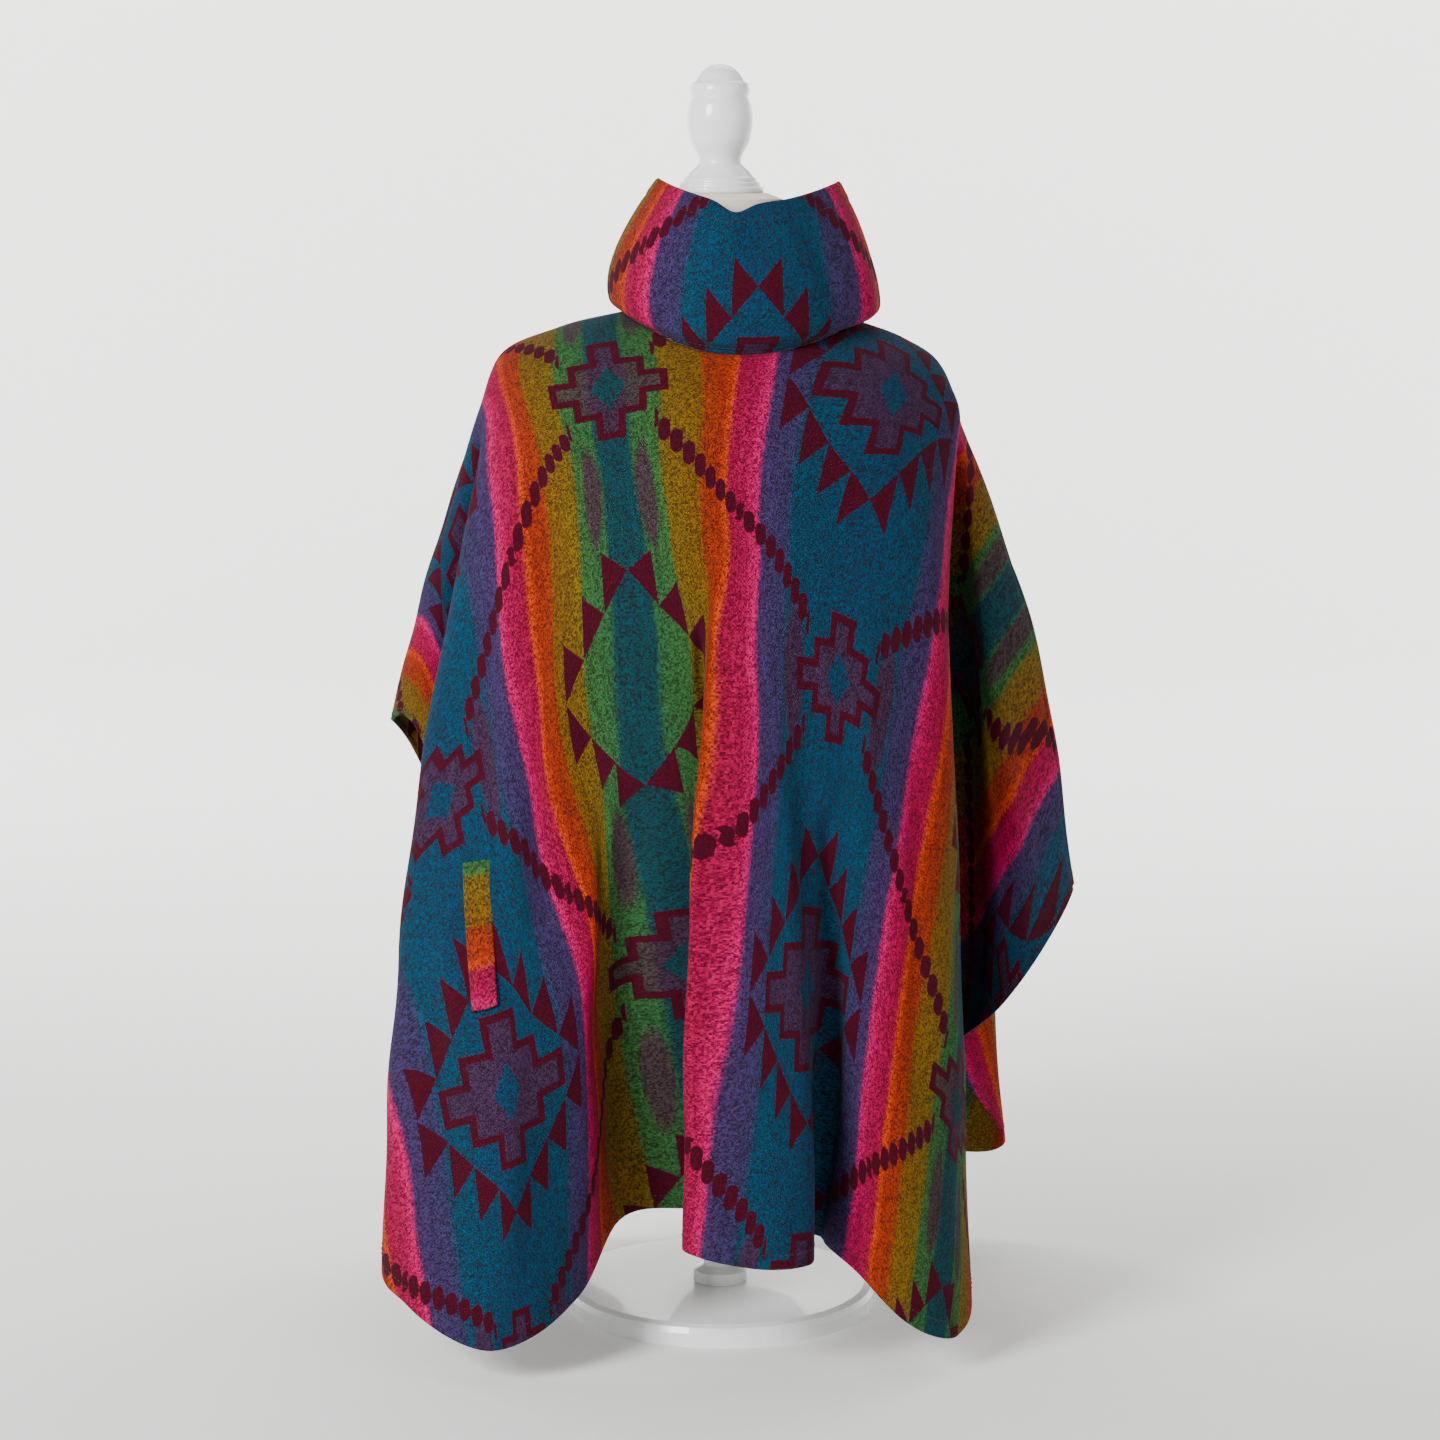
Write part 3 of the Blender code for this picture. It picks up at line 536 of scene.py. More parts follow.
def tuck_shift(at, levels):
    """How far the cloth hidden in the tucks parts the flat cloth's places at both sides of them."""
    shift = np.zeros((levels.size, at.size))
    for _, fold0, fold1, width, hidden, first, last in TUCKS:
        fold = fold0 + (fold1 - fold0) * np.clip((levels - first) / (HEM_LEVEL - first), 0, 1)
        away = (at[None, :] - fold[:, None] + len(FOLDS) / 2) % len(FOLDS) - len(FOLDS) / 2
        part = np.clip((levels - first) / (last - first), 0, 1)
        part = part * part * (3 - 2 * part)
        shift += hidden / 2 * part[:, None] * np.tanh(away / width) * np.exp(-(away / 3) ** 2)
    return shift


def cut_points(at, levels):
    """The same grid on the flat cloth: u across and v down from the middle of the neck, in metres."""
    neck = cloth_points(at, np.linspace(0, FLAT_STEP, 10))
    run = np.linalg.norm(np.diff(neck, axis=0), axis=2).sum(axis=0)
    bearing = fold_bearings(at, [place[0] for place in FLAT_PLACES])
    rays = np.stack([np.sin(bearing), np.cos(bearing)], axis=-1)
    row = spline([place[1:] for place in FLAT_PLACES], at, True)
    rings = [rays * NECK_RADIUS, rays * (NECK_RADIUS + run * NECK_EASE)[:, None],
             row[:, 0:2], row[:, 2:4], row[:, 4:6]]
    cut = spline(rings, levels / FLAT_STEP, False)
    cut[..., 0] += tuck_shift(at, levels)
    return cut


def crease_heights(cut):
    """Height of the creases over the smooth cloth at points of the flat cloth."""
    height = np.zeros(cut.shape[:-1])
    for _, u0, v0, u1, v1, width, rise in CREASES:
        start = np.array([u0, v0])
        line = np.array([u1, v1]) - start
        length = np.linalg.norm(line)
        line /= length
        along = np.clip((cut - start) @ line, 0, length)
        away = np.linalg.norm(cut - start - along[..., None] * line, axis=-1)
        taper = np.clip(np.sin(math.pi * along / length), 0, 1) ** 0.7 if width > SEAM_WIDTH else 1.0
        height += rise * taper * np.exp(-(away / width) ** 2)
    return height


def pleat_heights(at, levels):
    """Height of the pleats over the smooth cloth, on a grid of levels by fold indices."""
    height = np.zeros((levels.size, at.size))
    for _, fold0, level0, fold1, level1, width, rise in PLEATS:
        part = np.clip((levels - level0) / (level1 - level0), 0, 1)
        taper = np.clip(np.sin(math.pi * part), 0, 1) ** 0.5
        middle = fold0 + (fold1 - fold0) * part
        away = np.abs((at[None, :] - middle[:, None] + len(FOLDS) / 2) % len(FOLDS) - len(FOLDS) / 2)
        height += rise * taper[:, None] * np.exp(-(away / width) ** 2)
    return height


def cloth_frame(at, levels):
    """Points, outward normals and directions round the cloth on the same grid."""
    step = 0.02
    points = cloth_points(at, levels)
    around = cloth_points(at + step, levels) - cloth_points(at - step, levels)
    down = (cloth_points(at, np.minimum(levels + step, HEM_LEVEL))
            - cloth_points(at, np.maximum(levels - step, 0)))
    normals = np.cross(down, around)
    normals /= np.linalg.norm(normals, axis=2, keepdims=True)
    around /= np.linalg.norm(around, axis=2, keepdims=True)
    return points, normals, around


def shell_mesh(name, outer, inner, cut, closed):
    """Closed thin shell between two grids of points, with the flat cloth's (u, v) as UV map "cut"."""
    rows, columns = outer.shape[:2]
    wide = columns + 1 if closed else columns
    index = np.arange(rows * columns).reshape(rows, columns)
    mark = np.arange(rows * wide).reshape(rows, wide)
    if closed:
        index = np.concatenate([index, index[:, :1]], axis=1)
    back = index + rows * columns

    def quads(grid):
        corners = [grid[:-1, :-1], grid[1:, :-1], grid[1:, 1:], grid[:-1, 1:]]
        return np.stack(corners, axis=-1).reshape(-1, 4)

    def rim(line, far_line):
        return np.stack([line[:-1], line[1:], far_line[1:], far_line[:-1]], axis=-1)

    faces = [quads(index), quads(back)[:, ::-1], rim(index[0], back[0]), rim(index[-1], back[-1])[:, ::-1]]
    marks = [quads(mark), quads(mark)[:, ::-1], rim(mark[0], mark[0]), rim(mark[-1], mark[-1])[:, ::-1]]
    if not closed:
        faces += [rim(index[:, 0], back[:, 0])[:, ::-1], rim(index[:, -1], back[:, -1])]
        marks += [rim(mark[:, 0], mark[:, 0])[:, ::-1], rim(mark[:, -1], mark[:, -1])]
    faces = np.concatenate(faces)
    marks = np.concatenate(marks)
    mesh = bpy.data.meshes.new(name)
    vertices = np.concatenate([outer.reshape(-1, 3), inner.reshape(-1, 3)])
    mesh.from_pydata(vertices.tolist(), [], faces.tolist())
    layer = mesh.uv_layers.new(name="cut")
    layer.data.foreach_set("uv", cut.reshape(-1, 2)[marks.ravel()].ravel())
    mesh.shade_smooth()
    return mesh


COLUMNS_PER_FOLD = 14
SHOULDER_ROWS = 34
HANGING_ROWS = 78
HEM_ROWS = 8
HEM_TURN = 0.13             # levels that the turned hem takes, about 14 mm
HEM_EXTRA = 0.0011          # thickness that the turned hem adds
NEAR_SEAM = (0.004, 0.012, 0.024, 0.040)    # more columns beside the shoulder seams, in folds


def cloth_heights(at, levels, cut):
    """Small heights over the solid's form: the creases and an uneven swell from the weaver's hands."""
    fade = np.clip(levels / 2.0, 0, 1)[:, None]
    u = cut[..., 0]
    v = cut[..., 1]
    sway = (0.0011 * np.sin(23 * u + 9 * np.sin(4.1 * v + 0.6))
            + 0.0009 * np.sin(31 * v + 5 * np.sin(6.3 * u + 1.9))
            + 0.0008 * np.sin(57 * u - 13 * v + 2.2))
    return crease_heights(cut) * np.maximum(fade, 0.25) + sway * fade + pleat_heights(at, levels)


def make_panel(name, first_fold, last_fold, finish):
    """Front or back of the poncho between the two shoulder seams."""
    columns = (last_fold - first_fold) * COLUMNS_PER_FOLD + 1
    at = np.linspace(first_fold, last_fold, columns)
    near_seam = np.array(NEAR_SEAM)
    at = np.sort(np.concatenate([at, first_fold + near_seam, last_fold - near_seam]))
    levels = np.concatenate([
        np.linspace(0, SHOULDER_LEVELS, SHOULDER_ROWS + 1),
        np.linspace(SHOULDER_LEVELS, HEM_LEVEL - HEM_TURN, HANGING_ROWS + 1)[1:],
        np.linspace(HEM_LEVEL - HEM_TURN, HEM_LEVEL, HEM_ROWS + 1)[1:],
    ])
    points, normals, around = cloth_frame(at, levels)
    cut = cut_points(at, levels)
    points += normals * cloth_heights(at, levels, cut)[..., None]
    points[:, 0] += around[:, 0] * SEAM_GAP / 2
    points[:, -1] -= around[:, -1] * SEAM_GAP / 2
    turned = np.clip((levels - HEM_LEVEL + HEM_TURN) / HEM_TURN * 3, 0, 1)[:, None, None]
    inner = points - normals * (CLOTH_WALL + HEM_EXTRA * turned)
    made = bpy.data.objects.new(name, shell_mesh(name, points, inner, cut, False))
    made.data.materials.append(finish)
    bpy.context.scene.collection.objects.link(made)
    return made


front = make_panel("poncho_front", LEFT_SEAM, RIGHT_SEAM + len(FOLDS),
                   woven_material("patterned wool weave, front"))
back = make_panel("poncho_back", RIGHT_SEAM, LEFT_SEAM, woven_material("patterned wool weave, back"))
for panel, solid, slot_name in (
        (front, "front_panel", "front_cloth"), (back, "back_panel", "back_cloth")):
    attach(panel, "root")
    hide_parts(solid)

# Sewing of the poncho: dark cotton thread, whose plump stitches hold the turned hem. The same stitches
# sew the collar and the welt. The twisted thread is nearly matt, with a little shine on each turn.
STITCH_PITCH = 0.0052
STITCH_LENGTH = 0.0034
STITCH_WIDTH = 0.0010
STITCH_UNEVEN = (0.82, 1.12)    # each stitch's length, as a share
STITCH_SEED = 7
STITCH_LIFT = 0.0001
stitch_thread, thread_tree, thread_shader = new_material("dark cotton sewing thread")
n = functools.partial(add_node, thread_tree)
twist = n("ShaderNodeTexNoise", n("ShaderNodeTexCoord", output=3), None, 2400.0, 2.0)
thread_shine = n("ShaderNodeMapRange", twist, 0.3, 0.7, 0.55, 0.75)
thread_tree.links.new(thread_shine, thread_shader.inputs["Roughness"])
thread_shader.inputs["Base Color"].default_value = linear_colour(0x1E1018)


def stitch_group():
    """Node group that lays a plump stitch at each pitch along a line of points with a facing."""
    group = bpy.data.node_groups.new("stitches along a line", "GeometryNodeTree")
    for label, kind, value in (("Geometry", "Geometry", None), ("Pitch", "Float", STITCH_PITCH),
                               ("Length", "Float", STITCH_LENGTH), ("Width", "Float", STITCH_WIDTH),
                               ("Seed", "Int", STITCH_SEED)):
        socket = group.interface.new_socket(label, in_out="INPUT", socket_type="NodeSocket" + kind)
        if value is not None:
            socket.default_value = value
    group.interface.new_socket("Geometry", in_out="OUTPUT", socket_type="NodeSocketGeometry")

    def place(kind, **inputs):
        made = group.nodes.new(kind)
        for key, value in inputs.items():
            socket = made.inputs[int(key[1:])]
            if isinstance(value, bpy.types.NodeSocket):
                group.links.new(value, socket)
            else:
                socket.default_value = value
        return made

    given = place("NodeGroupInput").outputs
    line = place("GeometryNodeMeshToCurve", i0=given[0])
    even = place("GeometryNodeResampleCurve", i0=line.outputs[0], i3=given[1])
    even.mode = "LENGTH"
    facing = place("GeometryNodeInputNamedAttribute", i0="facing")
    facing.data_type = "FLOAT_VECTOR"
    along = place("FunctionNodeAlignRotationToVector", i2=place("GeometryNodeInputTangent").outputs[0])
    along.axis = "X"
    upright = place("FunctionNodeAlignRotationToVector", i0=along.outputs[0], i2=facing.outputs[0])
    upright.axis = "Z"
    upright.pivot_axis = "X"
    stray = place("FunctionNodeRandomValue", i8=given[4])
    stray.inputs[2].default_value, stray.inputs[3].default_value = STITCH_UNEVEN
    long = place("ShaderNodeMath", i0=given[2], i1=stray.outputs[1])
    long.operation = "MULTIPLY"
    size = place("ShaderNodeCombineXYZ", i0=long.outputs[0], i1=given[3], i2=given[3])
    bead = place("GeometryNodeMeshUVSphere")
    bead.inputs["Segments"].default_value = 6
    bead.inputs["Rings"].default_value = 6
    bead.inputs["Radius"].default_value = 0.5
    lying = place("GeometryNodeTransform", i0=bead.outputs[0])
    lying.inputs["Rotation"].default_value = (0, math.pi / 2, 0)
    laid = place("GeometryNodeInstanceOnPoints", i0=even.outputs[0], i2=lying.outputs[0],
                 i5=upright.outputs[0], i6=size.outputs[0])
    real = place("GeometryNodeRealizeInstances", i0=laid.outputs[0])
    dressed = place("GeometryNodeSetMaterial", i0=real.outputs[0])
    dressed.inputs["Material"].default_value = stitch_thread
    place("NodeGroupOutput", i0=dressed.outputs[0])
    return group


STITCHES = stitch_group()


def sew(name, lines, closed):
    """Stitches along lines of (points, facings) that already lie on the cloth, as one plain mesh."""
    points = np.concatenate([line for line, _ in lines])
    facings = np.concatenate([facing for _, facing in lines])
    edges = []
    first = 0
    for line, _ in lines:
        edges += [(first + k, first + k + 1) for k in range(len(line) - 1)]
        edges += [(first + len(line) - 1, first)] if closed else []
        first += len(line)
    guide = bpy.data.meshes.new(name + " guide")
    guide.from_pydata(points.tolist(), edges, [])
    guide.attributes.new("facing", "FLOAT_VECTOR", "POINT").data.foreach_set("vector", facings.ravel())
    row = bpy.data.objects.new(name, guide)
    bpy.context.scene.collection.objects.link(row)
    sewing = row.modifiers.new("stitches", "NODES")
    sewing.node_group = STITCHES
    for item in STITCHES.interface.items_tree:
        if item.in_out == "INPUT" and item.socket_type != "NodeSocketGeometry":
            sewing[item.identifier] = item.default_value
    laid = row.evaluated_get(bpy.context.evaluated_depsgraph_get())
    plain = bpy.data.meshes.new_from_object(laid)
    row.modifiers.clear()
    row.data = plain
    plain.name = name
    plain.shade_smooth()
    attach(row, "root")


HEM_SEWN = 0.008            # levels under the hem's turned edge


def hem_line(first_fold, last_fold):
    """The line of stitches that holds the turned hem, just under its fold."""
    at = np.linspace(first_fold + 0.05, last_fold - 0.05, (last_fold - first_fold) * 24)
    levels = np.array([HEM_LEVEL - HEM_TURN + HEM_SEWN])
    points, normals, _ = cloth_frame(at, levels)
    points += normals * cloth_heights(at, levels, cut_points(at, levels))[..., None]
    return points[0] + normals[0] * STITCH_LIFT, normals[0]


sew("front_hem_stitches", [hem_line(LEFT_SEAM, RIGHT_SEAM + len(FOLDS))], False)
sew("back_hem_stitches", [hem_line(RIGHT_SEAM, LEFT_SEAM)], False)

# Collar: a wide standing tube of the same blanket cloth, doubled at its top edge and sewn into the
# neck with a seam that is topstitched. It swells over the seam, leans in and dips at the centre front.
COLLAR_RINGS = (
    ("swell at the seam", -0.103, 0.148, -0.108, 0.098, 0.966, 0.956, 0.936, 0.962),
    ("widest", -0.105, 0.149, -0.113, 0.102, 0.990, 0.978, 0.966, 0.986),
    ("middle", -0.096, 0.142, -0.108, 0.097, 1.019, 1.007, 0.998, 1.012),
    ("upper", -0.079, 0.129, -0.098, 0.088, 1.050, 1.042, 1.030, 1.034),
    ("top edge", -0.058, 0.111, -0.086, 0.078, 1.080, 1.077, 1.058, 1.050),
)
COLLAR_COLUMNS = 288
COLLAR_ROWS = 60
COLLAR_FINE_FROM = 0.94     # height up the collar from which its rows are closer
COLLAR_NOTCH_X = 0.014
COLLAR_NOTCH_DEPTH = 0.009
COLLAR_NOTCH_WIDTH = 0.014
COLLAR_POINT = 0.35
COLLAR_FLAT_U = 0.133       # across the flat cloth: the collar's centre front is on a blue-teal stripe
COLLAR_FLAT_V = 0.078       # down the flat cloth: where the collar's lower edge is cut
COLLAR_FRONT_X = 0.035
COLLAR_RADIUS = 0.115       # mean radius and height, for the lie of its folds
COLLAR_TALL = 0.125
COLLAR_STITCHED = (0.085, 0.895)    # height up the collar of the topstitched lines
# Folds of the collar: bearing and height up the collar at both ends, half width and rise in metres.
COLLAR_CREASES = (
    ("left front fold", -38, 0.10, -22, 0.95, 0.010, -0.0035),
    ("left front swell", -55, 0.15, -44, 0.90, 0.016, 0.0030),
    ("centre dip", 2, 0.62, 5, 1.00, 0.012, -0.0035),
    ("right front fold", 44, 0.20, 30, 0.95, 0.011, -0.0035),
    ("right side swell", 66, 0.10, 60, 0.85, 0.018, 0.0030),
    ("right side fold", 84, 0.25, 92, 0.90, 0.010, -0.0030),
    ("slump over the seam, front", -30, 0.20, 40, 0.16, 0.010, 0.0020),
    ("back left fold", 215, 0.10, 228, 0.90, 0.012, -0.0035),
    ("back centre swell", 178, 0.10, 184, 0.80, 0.020, 0.0025),
    ("back right fold", 140, 0.15, 128, 0.90, 0.012, -0.0035),
    ("left side fold", 268, 0.25, 262, 0.90, 0.010, -0.0030),
)


def collar_points(columns, rows):
    """Rings of the collar's outer face as the solid has it, from the neck seam to the top edge."""
    bearing = np.linspace(-math.pi, math.pi, columns, endpoint=False)
    seam = ring_points(SHOULDER_RINGS[0], bearing) + np.array([0, 0, SEAM_GAP])
    rings = [seam] + [ring_points(ring, bearing) for ring in COLLAR_RINGS]
    top = rings[-1]
    top[:, 1] *= 1 - COLLAR_POINT * np.abs(np.sin(bearing)) ** 4
    dip = np.exp(-((top[:, 0] - COLLAR_NOTCH_X) / COLLAR_NOTCH_WIDTH) ** 2)
    top[:, 2] -= np.where(top[:, 1] < 0, COLLAR_NOTCH_DEPTH * dip, 0)
    return bearing, spline(rings, rows, False)


def make_collar(finish):
    """Collar with its top edge turned in, its folds and its place on the flat cloth."""
    last = len(COLLAR_RINGS)
    rows = np.concatenate([
        np.linspace(0, last * COLLAR_FINE_FROM, COLLAR_ROWS),
        np.linspace(last * COLLAR_FINE_FROM, last, 7)[1:],
    ])
    bearing, points = collar_points(COLLAR_COLUMNS, rows)
    around = np.roll(points, -1, axis=1) - np.roll(points, 1, axis=1)
    up = np.gradient(points, axis=0)
    outward = np.cross(around, up)
    outward /= np.linalg.norm(outward, axis=2, keepdims=True)
    middle = points.mean(axis=1, keepdims=True)
    outward *= np.sign(np.sum(outward * (points - middle), axis=2, keepdims=True))
    height = np.zeros(points.shape[:2])
    radius = np.linalg.norm((points - middle)[..., :2], axis=2)
    turn = np.degrees(bearing)[None, :]
    part = (rows / last)[:, None]
    for _, turn0, up0, turn1, up1, width, rise in COLLAR_CREASES:
        far = (turn - turn0 + 180) % 360 - 180
        sweep_round = math.radians((turn1 - turn0 + 180) % 360 - 180)
        line = np.array([sweep_round * COLLAR_RADIUS, (up1 - up0) * COLLAR_TALL])
        place = np.stack([np.radians(far) * radius, (part - up0) * COLLAR_TALL + 0 * far], axis=-1)
        length = np.linalg.norm(line)
        line /= length
        along = np.clip(place @ line, 0, length)
        away = np.linalg.norm(place - along[..., None] * line, axis=-1)
        taper = np.clip(np.sin(math.pi * (0.1 + 0.8 * along / length)), 0, 1)
        height += rise * taper * np.exp(-(away / width) ** 2)
    turned = np.clip((part - 0.88) / 0.02, 0, 1)
    groove = np.exp(-((part - 0.895) / 0.010) ** 2)
    rounded = np.clip((part - 0.975) / 0.025, 0, 1) ** 2
    seam = np.exp(-((part - 0.045) / 0.02) ** 2)
    height += 0.0006 * turned - 0.0009 * groove - 0.0012 * rounded - 0.0008 * seam
    points = points + outward * height[..., None]
    wall = CLOTH_WALL + 0.0012 * turned - 0.0016 * rounded
    inner = points - outward * wall[..., None]

    seam_line = points[rows.size // 4]
    seam_line = np.concatenate([seam_line, seam_line[:1]])
    arc = np.concatenate([[0], np.cumsum(np.linalg.norm(np.diff(seam_line, axis=0), axis=1))])
    front = slice(COLLAR_COLUMNS // 2 - 30, COLLAR_COLUMNS // 2 + 60)
    arc -= np.interp(COLLAR_FRONT_X, seam_line[front, 0], arc[front])
    run = np.linalg.norm(np.diff(points, axis=0), axis=2)
    run = np.concatenate([np.zeros((1, run.shape[1])), np.cumsum(run, axis=0)])
    run = np.concatenate([run, run[:, :1]], axis=1)
    cut = np.stack([COLLAR_FLAT_U + arc[None, :] + 0 * run, COLLAR_FLAT_V - run], axis=-1)
    mesh = shell_mesh("poncho_collar", points[::-1], inner[::-1], cut[::-1], True)
    made = bpy.data.objects.new("poncho_collar", mesh)
    made.data.materials.append(finish)
    bpy.context.scene.collection.objects.link(made)
    rows_sewn = [np.abs(part[:, 0] - height_up).argmin() for height_up in COLLAR_STITCHED]
    return made, [(points[k] + outward[k] * STITCH_LIFT, outward[k]) for k in rows_sewn]


collar, collar_lines = make_collar(woven_material("patterned wool weave, collar"))
sew("collar_stitches", collar_lines, True)
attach(collar, "root")
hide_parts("collar")

# Pocket welt: a narrow slanting strip of the same cloth, cut across the stripes, laid on the front
# over the mouth of a pocket and stitched down round its edge.
WELT_TOP = (28.34, 5.76, 28.68, 5.62)
WELT_BOTTOM = (28.62, 6.70, 28.90, 6.58)
WELT_LIFT = 0.0006
WELT_WIDE = 0.027
WELT_LONG = 0.146
WELT_ROWS = 72
WELT_COLUMNS = 14
WELT_SEWN = (2, 2)              # rows and columns in from the edge at which it is stitched down
WELT_FLAT_U = (-0.086, 0.020)   # across the flat cloth: stripes from green to pink run over the strip
WELT_FLAT_V = (0.292, 0.318)


def make_welt(finish):
    """Strip on the front between two rows of corners, rounded over at its edges."""
    down = np.linspace(0, 1, WELT_ROWS + 1)
    across = np.linspace(0, 1, WELT_COLUMNS + 1)
    points = np.empty((down.size, across.size, 3))
    normals = np.empty_like(points)
    for r, part in enumerate(down):
        left_fold, left_level, right_fold, right_level = (
            high + (low - high) * part for high, low in zip(WELT_TOP, WELT_BOTTOM))
        at = left_fold + (right_fold - left_fold) * across
        level = left_level + (right_level - left_level) * across
        for c in range(across.size):
            grid, facing, _ = cloth_frame(at[c:c + 1], level[c:c + 1])
            place = cut_points(at[c:c + 1], level[c:c + 1])
            points[r, c] = grid[0, 0] + facing[0, 0] * max(crease_heights(place)[0, 0], 0.0)
            normals[r, c] = facing[0, 0]
    edge = np.minimum(np.minimum(across, 1 - across)[None, :] * WELT_WIDE,
                      np.minimum(down, 1 - down)[:, None] * WELT_LONG)
    puff = 0.0012 * np.clip(edge / 0.003, 0, 1) ** 0.5 - 0.0007 * np.exp(-((edge - 0.0035) / 0.0012) ** 2)
    under = points + normals * WELT_LIFT
    top = under + normals * (CLOTH_WALL - 0.0008 + puff)[..., None]
    u = WELT_FLAT_U[0] + (WELT_FLAT_U[1] - WELT_FLAT_U[0]) * down[:, None] + 0 * across
    v = WELT_FLAT_V[0] + (WELT_FLAT_V[1] - WELT_FLAT_V[0]) * across[None, :] + 0 * down[:, None]
    mesh = shell_mesh("pocket_welt_strip", top, under, np.stack([u, v], axis=-1), False)
    made = bpy.data.objects.new("pocket_welt_strip", mesh)
    made.data.materials.append(finish)
    bpy.context.scene.collection.objects.link(made)
    r, c = WELT_SEWN
    ring = ([(r, k) for k in range(c, WELT_COLUMNS - c)]
            + [(k, WELT_COLUMNS - c) for k in range(r, WELT_ROWS - r)]
            + [(WELT_ROWS - r, k) for k in range(WELT_COLUMNS - c, c, -1)]
            + [(k, c) for k in range(WELT_ROWS - r, r, -1)])
    line = np.array([top[place] for place in ring])
    return made, [(line, np.array([normals[place] for place in ring]))]


welt, welt_lines = make_welt(woven_material("patterned wool weave, welt"))
sew("welt_stitches", welt_lines, True)
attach(welt, "root")
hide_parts("pocket_welt")

# Dress form: a stuffed torso covered with cream cotton jersey, whose fine ribs run up and down. Its
# cap shows in the neck of the collar. The knit is soft and quite matt.
JERSEY_WALES = 420.0        # ribs round the neck
JERSEY_COURSE = 0.00161     # height of a row of loops
jersey, jersey_tree, jersey_shader = new_material("cream cotton jersey")
n = functools.partial(add_node, jersey_tree)
jersey_place = n("ShaderNodeTexCoord", output=3)
jersey_x, jersey_y, jersey_z = (
    n("ShaderNodeSeparateXYZ", jersey_place, output=k) for k in range(3))
wales = n("SINE", n("MULTIPLY", n("ARCTAN2", jersey_y, jersey_x), JERSEY_WALES))
courses = n("SINE", n("MULTIPLY", jersey_z, 2 * math.pi / JERSEY_COURSE))
fuzz = n("ShaderNodeTexNoise", jersey_place, None, 900.0, 3.0)
knit = n("ADD", n("MULTIPLY", wales, courses), n("MULTIPLY", fuzz, 1.5))
tone = n("ShaderNodeMapRange", fuzz, 0.3, 0.7, 0.93, 1.0)
tint = n("ShaderNodeMix", None, None, None, None, None, None, None, None, output=2, data_type="RGBA")
jersey_tree.links.new(tone, tint.node.inputs[0])
tint.node.inputs[6].default_value = linear_colour(0xC9BFA8)
tint.node.inputs[7].default_value = linear_colour(0xEFE7D6)
jersey_tree.links.new(tint, jersey_shader.inputs["Base Color"])
jersey_bump = n("ShaderNodeBump", output=0)
jersey_bump.node.inputs["Strength"].default_value = 0.35
jersey_bump.node.inputs["Distance"].default_value = 0.0005
jersey_tree.links.new(knit, jersey_bump.node.inputs["Height"])
jersey_tree.links.new(jersey_bump, jersey_shader.inputs["Normal"])
jersey_shader.inputs["Roughness"].default_value = 0.88
jersey_shader.inputs["Sheen Weight"].default_value = 0.15
nodes["form_torso"].data.materials.clear()
nodes["form_torso"].data.materials.append(jersey)

# Finial, pole and base: turned wood under several coats of white gloss paint. The paint has filled
# the grain, so only a faint brushed unevenness catches the light, and the grooves are softened.
BRUSH_SCALE = (40, 40, 260) # noise scale of the brush marks, which run round the turning
gloss, gloss_tree, gloss_shader = new_material("white gloss paint on turned wood")
n = functools.partial(add_node, gloss_tree)
gloss_place = n("ShaderNodeTexCoord", output=3)
brushed = n("ShaderNodeMapping", gloss_place, None, None, BRUSH_SCALE)
brushed = n("ShaderNodeTexNoise", brushed, None, 1.0, 3.0)
gloss_bump = n("ShaderNodeBump", output=0)
gloss_bump.node.inputs["Strength"].default_value = 0.10
gloss_bump.node.inputs["Distance"].default_value = 0.0006
gloss_tree.links.new(brushed, gloss_bump.node.inputs["Height"])
gloss_tree.links.new(gloss_bump, gloss_shader.inputs["Normal"])
gloss_shader.inputs["Base Color"].default_value = linear_colour(0xF1F4F3)
gloss_shader.inputs["Roughness"].default_value = 0.22
gloss_shader.inputs["Coat Weight"].default_value = 0.4
for node_name in ("stand_pole", "stand_base"):
    nodes[node_name].data.materials.clear()
    nodes[node_name].data.materials.append(gloss)

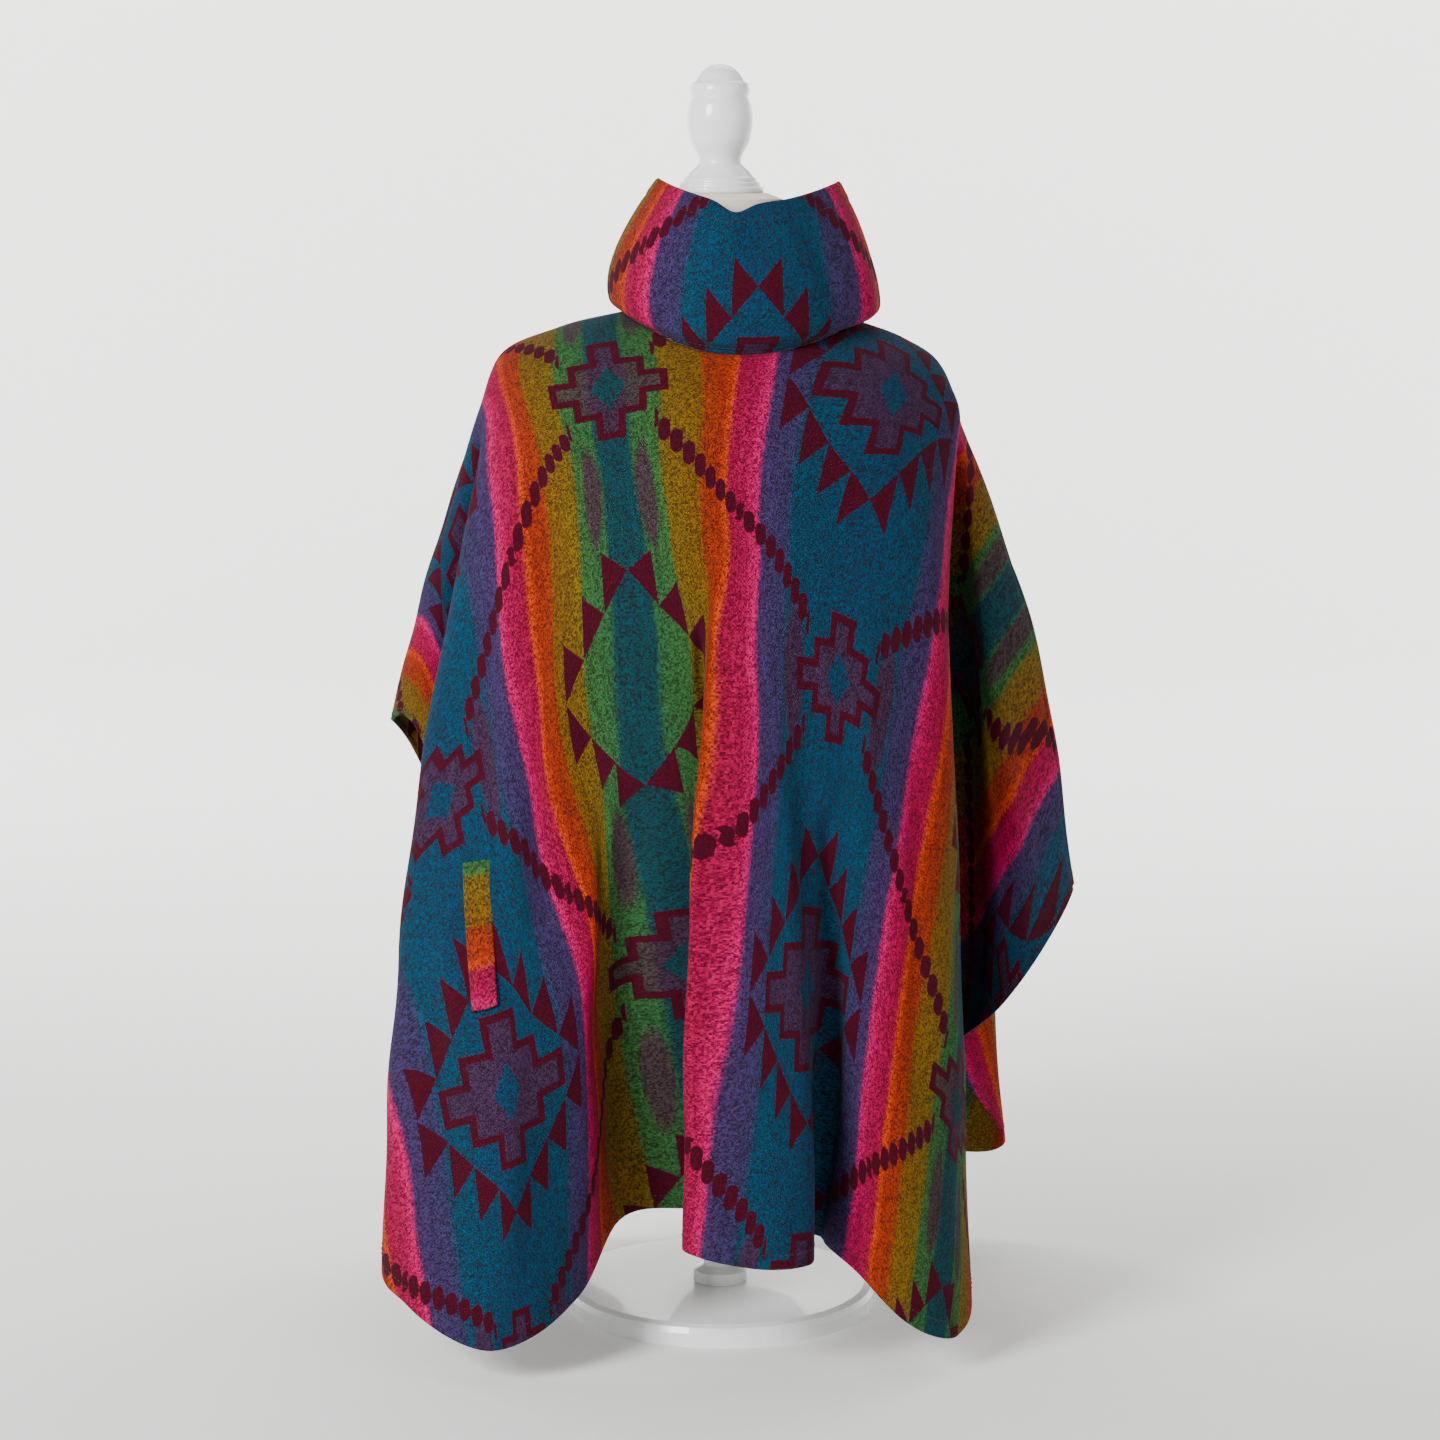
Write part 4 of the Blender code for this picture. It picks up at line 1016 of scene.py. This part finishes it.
# The finial is the same paint on a finer turning: a button over a cove, a ball with a shallow waist
# line, and a foot of stepped rings that sits in the form's neck.
FINIAL_OUTLINE = (
    (0.0000, 1.1834), (0.0045, 1.1831), (0.0090, 1.1818), (0.0135, 1.1794), (0.0172, 1.1762),
    (0.0202, 1.1722), (0.0222, 1.1682), (0.0232, 1.1672), (0.0252, 1.1666), (0.0267, 1.1648),
    (0.0276, 1.1618), (0.0277, 1.1586), (0.0271, 1.1556), (0.0264, 1.1540), (0.0262, 1.1530),
    (0.0265, 1.1520), (0.0277, 1.1502), (0.0290, 1.1462), (0.0300, 1.1410), (0.0305, 1.1350),
    (0.0304, 1.1290), (0.0296, 1.1220), (0.0280, 1.1150), (0.0258, 1.1095), (0.0232, 1.1050),
    (0.0210, 1.1010), (0.0199, 1.0975), (0.0196, 1.0945), (0.0203, 1.0920), (0.0222, 1.0900),
    (0.0250, 1.0877), (0.0282, 1.0847), (0.0306, 1.0815), (0.0318, 1.0800), (0.0334, 1.0797),
    (0.0343, 1.0788), (0.0345, 1.0778), (0.0343, 1.0768), (0.0346, 1.0758), (0.0366, 1.0755),
    (0.0374, 1.0746), (0.0376, 1.0735), (0.0373, 1.0724), (0.0377, 1.0714), (0.0396, 1.0711),
    (0.0404, 1.0703), (0.0406, 1.0690), (0.0406, 1.0664), (0.0400, 1.0658), (0.0000, 1.0658),
)
FINIAL_STEPS = 128
outline = np.array(FINIAL_OUTLINE)
round_turn = np.linspace(0, 2 * math.pi, FINIAL_STEPS, endpoint=False)
finial_rings = np.stack([
    outline[1:-1, :1] * np.cos(round_turn), outline[1:-1, :1] * np.sin(round_turn),
    np.repeat(outline[1:-1, 1:], FINIAL_STEPS, axis=1)], axis=-1)
finial_index = np.arange(finial_rings.shape[0] * FINIAL_STEPS).reshape(-1, FINIAL_STEPS)
finial_next = np.roll(finial_index, -1, axis=1)
finial_faces = np.stack([finial_index[:-1], finial_index[1:], finial_next[1:], finial_next[:-1]], axis=-1)
crown = finial_index.size
foot = crown + 1
finial_mesh = bpy.data.meshes.new("turned_finial")
finial_mesh.from_pydata(
    finial_rings.reshape(-1, 3).tolist() + [(0, 0, outline[0, 1]), (0, 0, outline[-1, 1])], [],
    finial_faces.reshape(-1, 4).tolist()
    + [(crown, a, b) for a, b in zip(finial_index[0].tolist(), finial_next[0].tolist())]
    + [(foot, b, a) for a, b in zip(finial_index[-1].tolist(), finial_next[-1].tolist())])
finial_mesh.shade_smooth()
finial_mesh.set_sharp_from_angle(angle=math.radians(48))
finial_mesh.materials.append(gloss)
finial = bpy.data.objects.new("turned_finial", finial_mesh)
bpy.context.scene.collection.objects.link(finial)
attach(finial, "root")
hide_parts("form_finial")
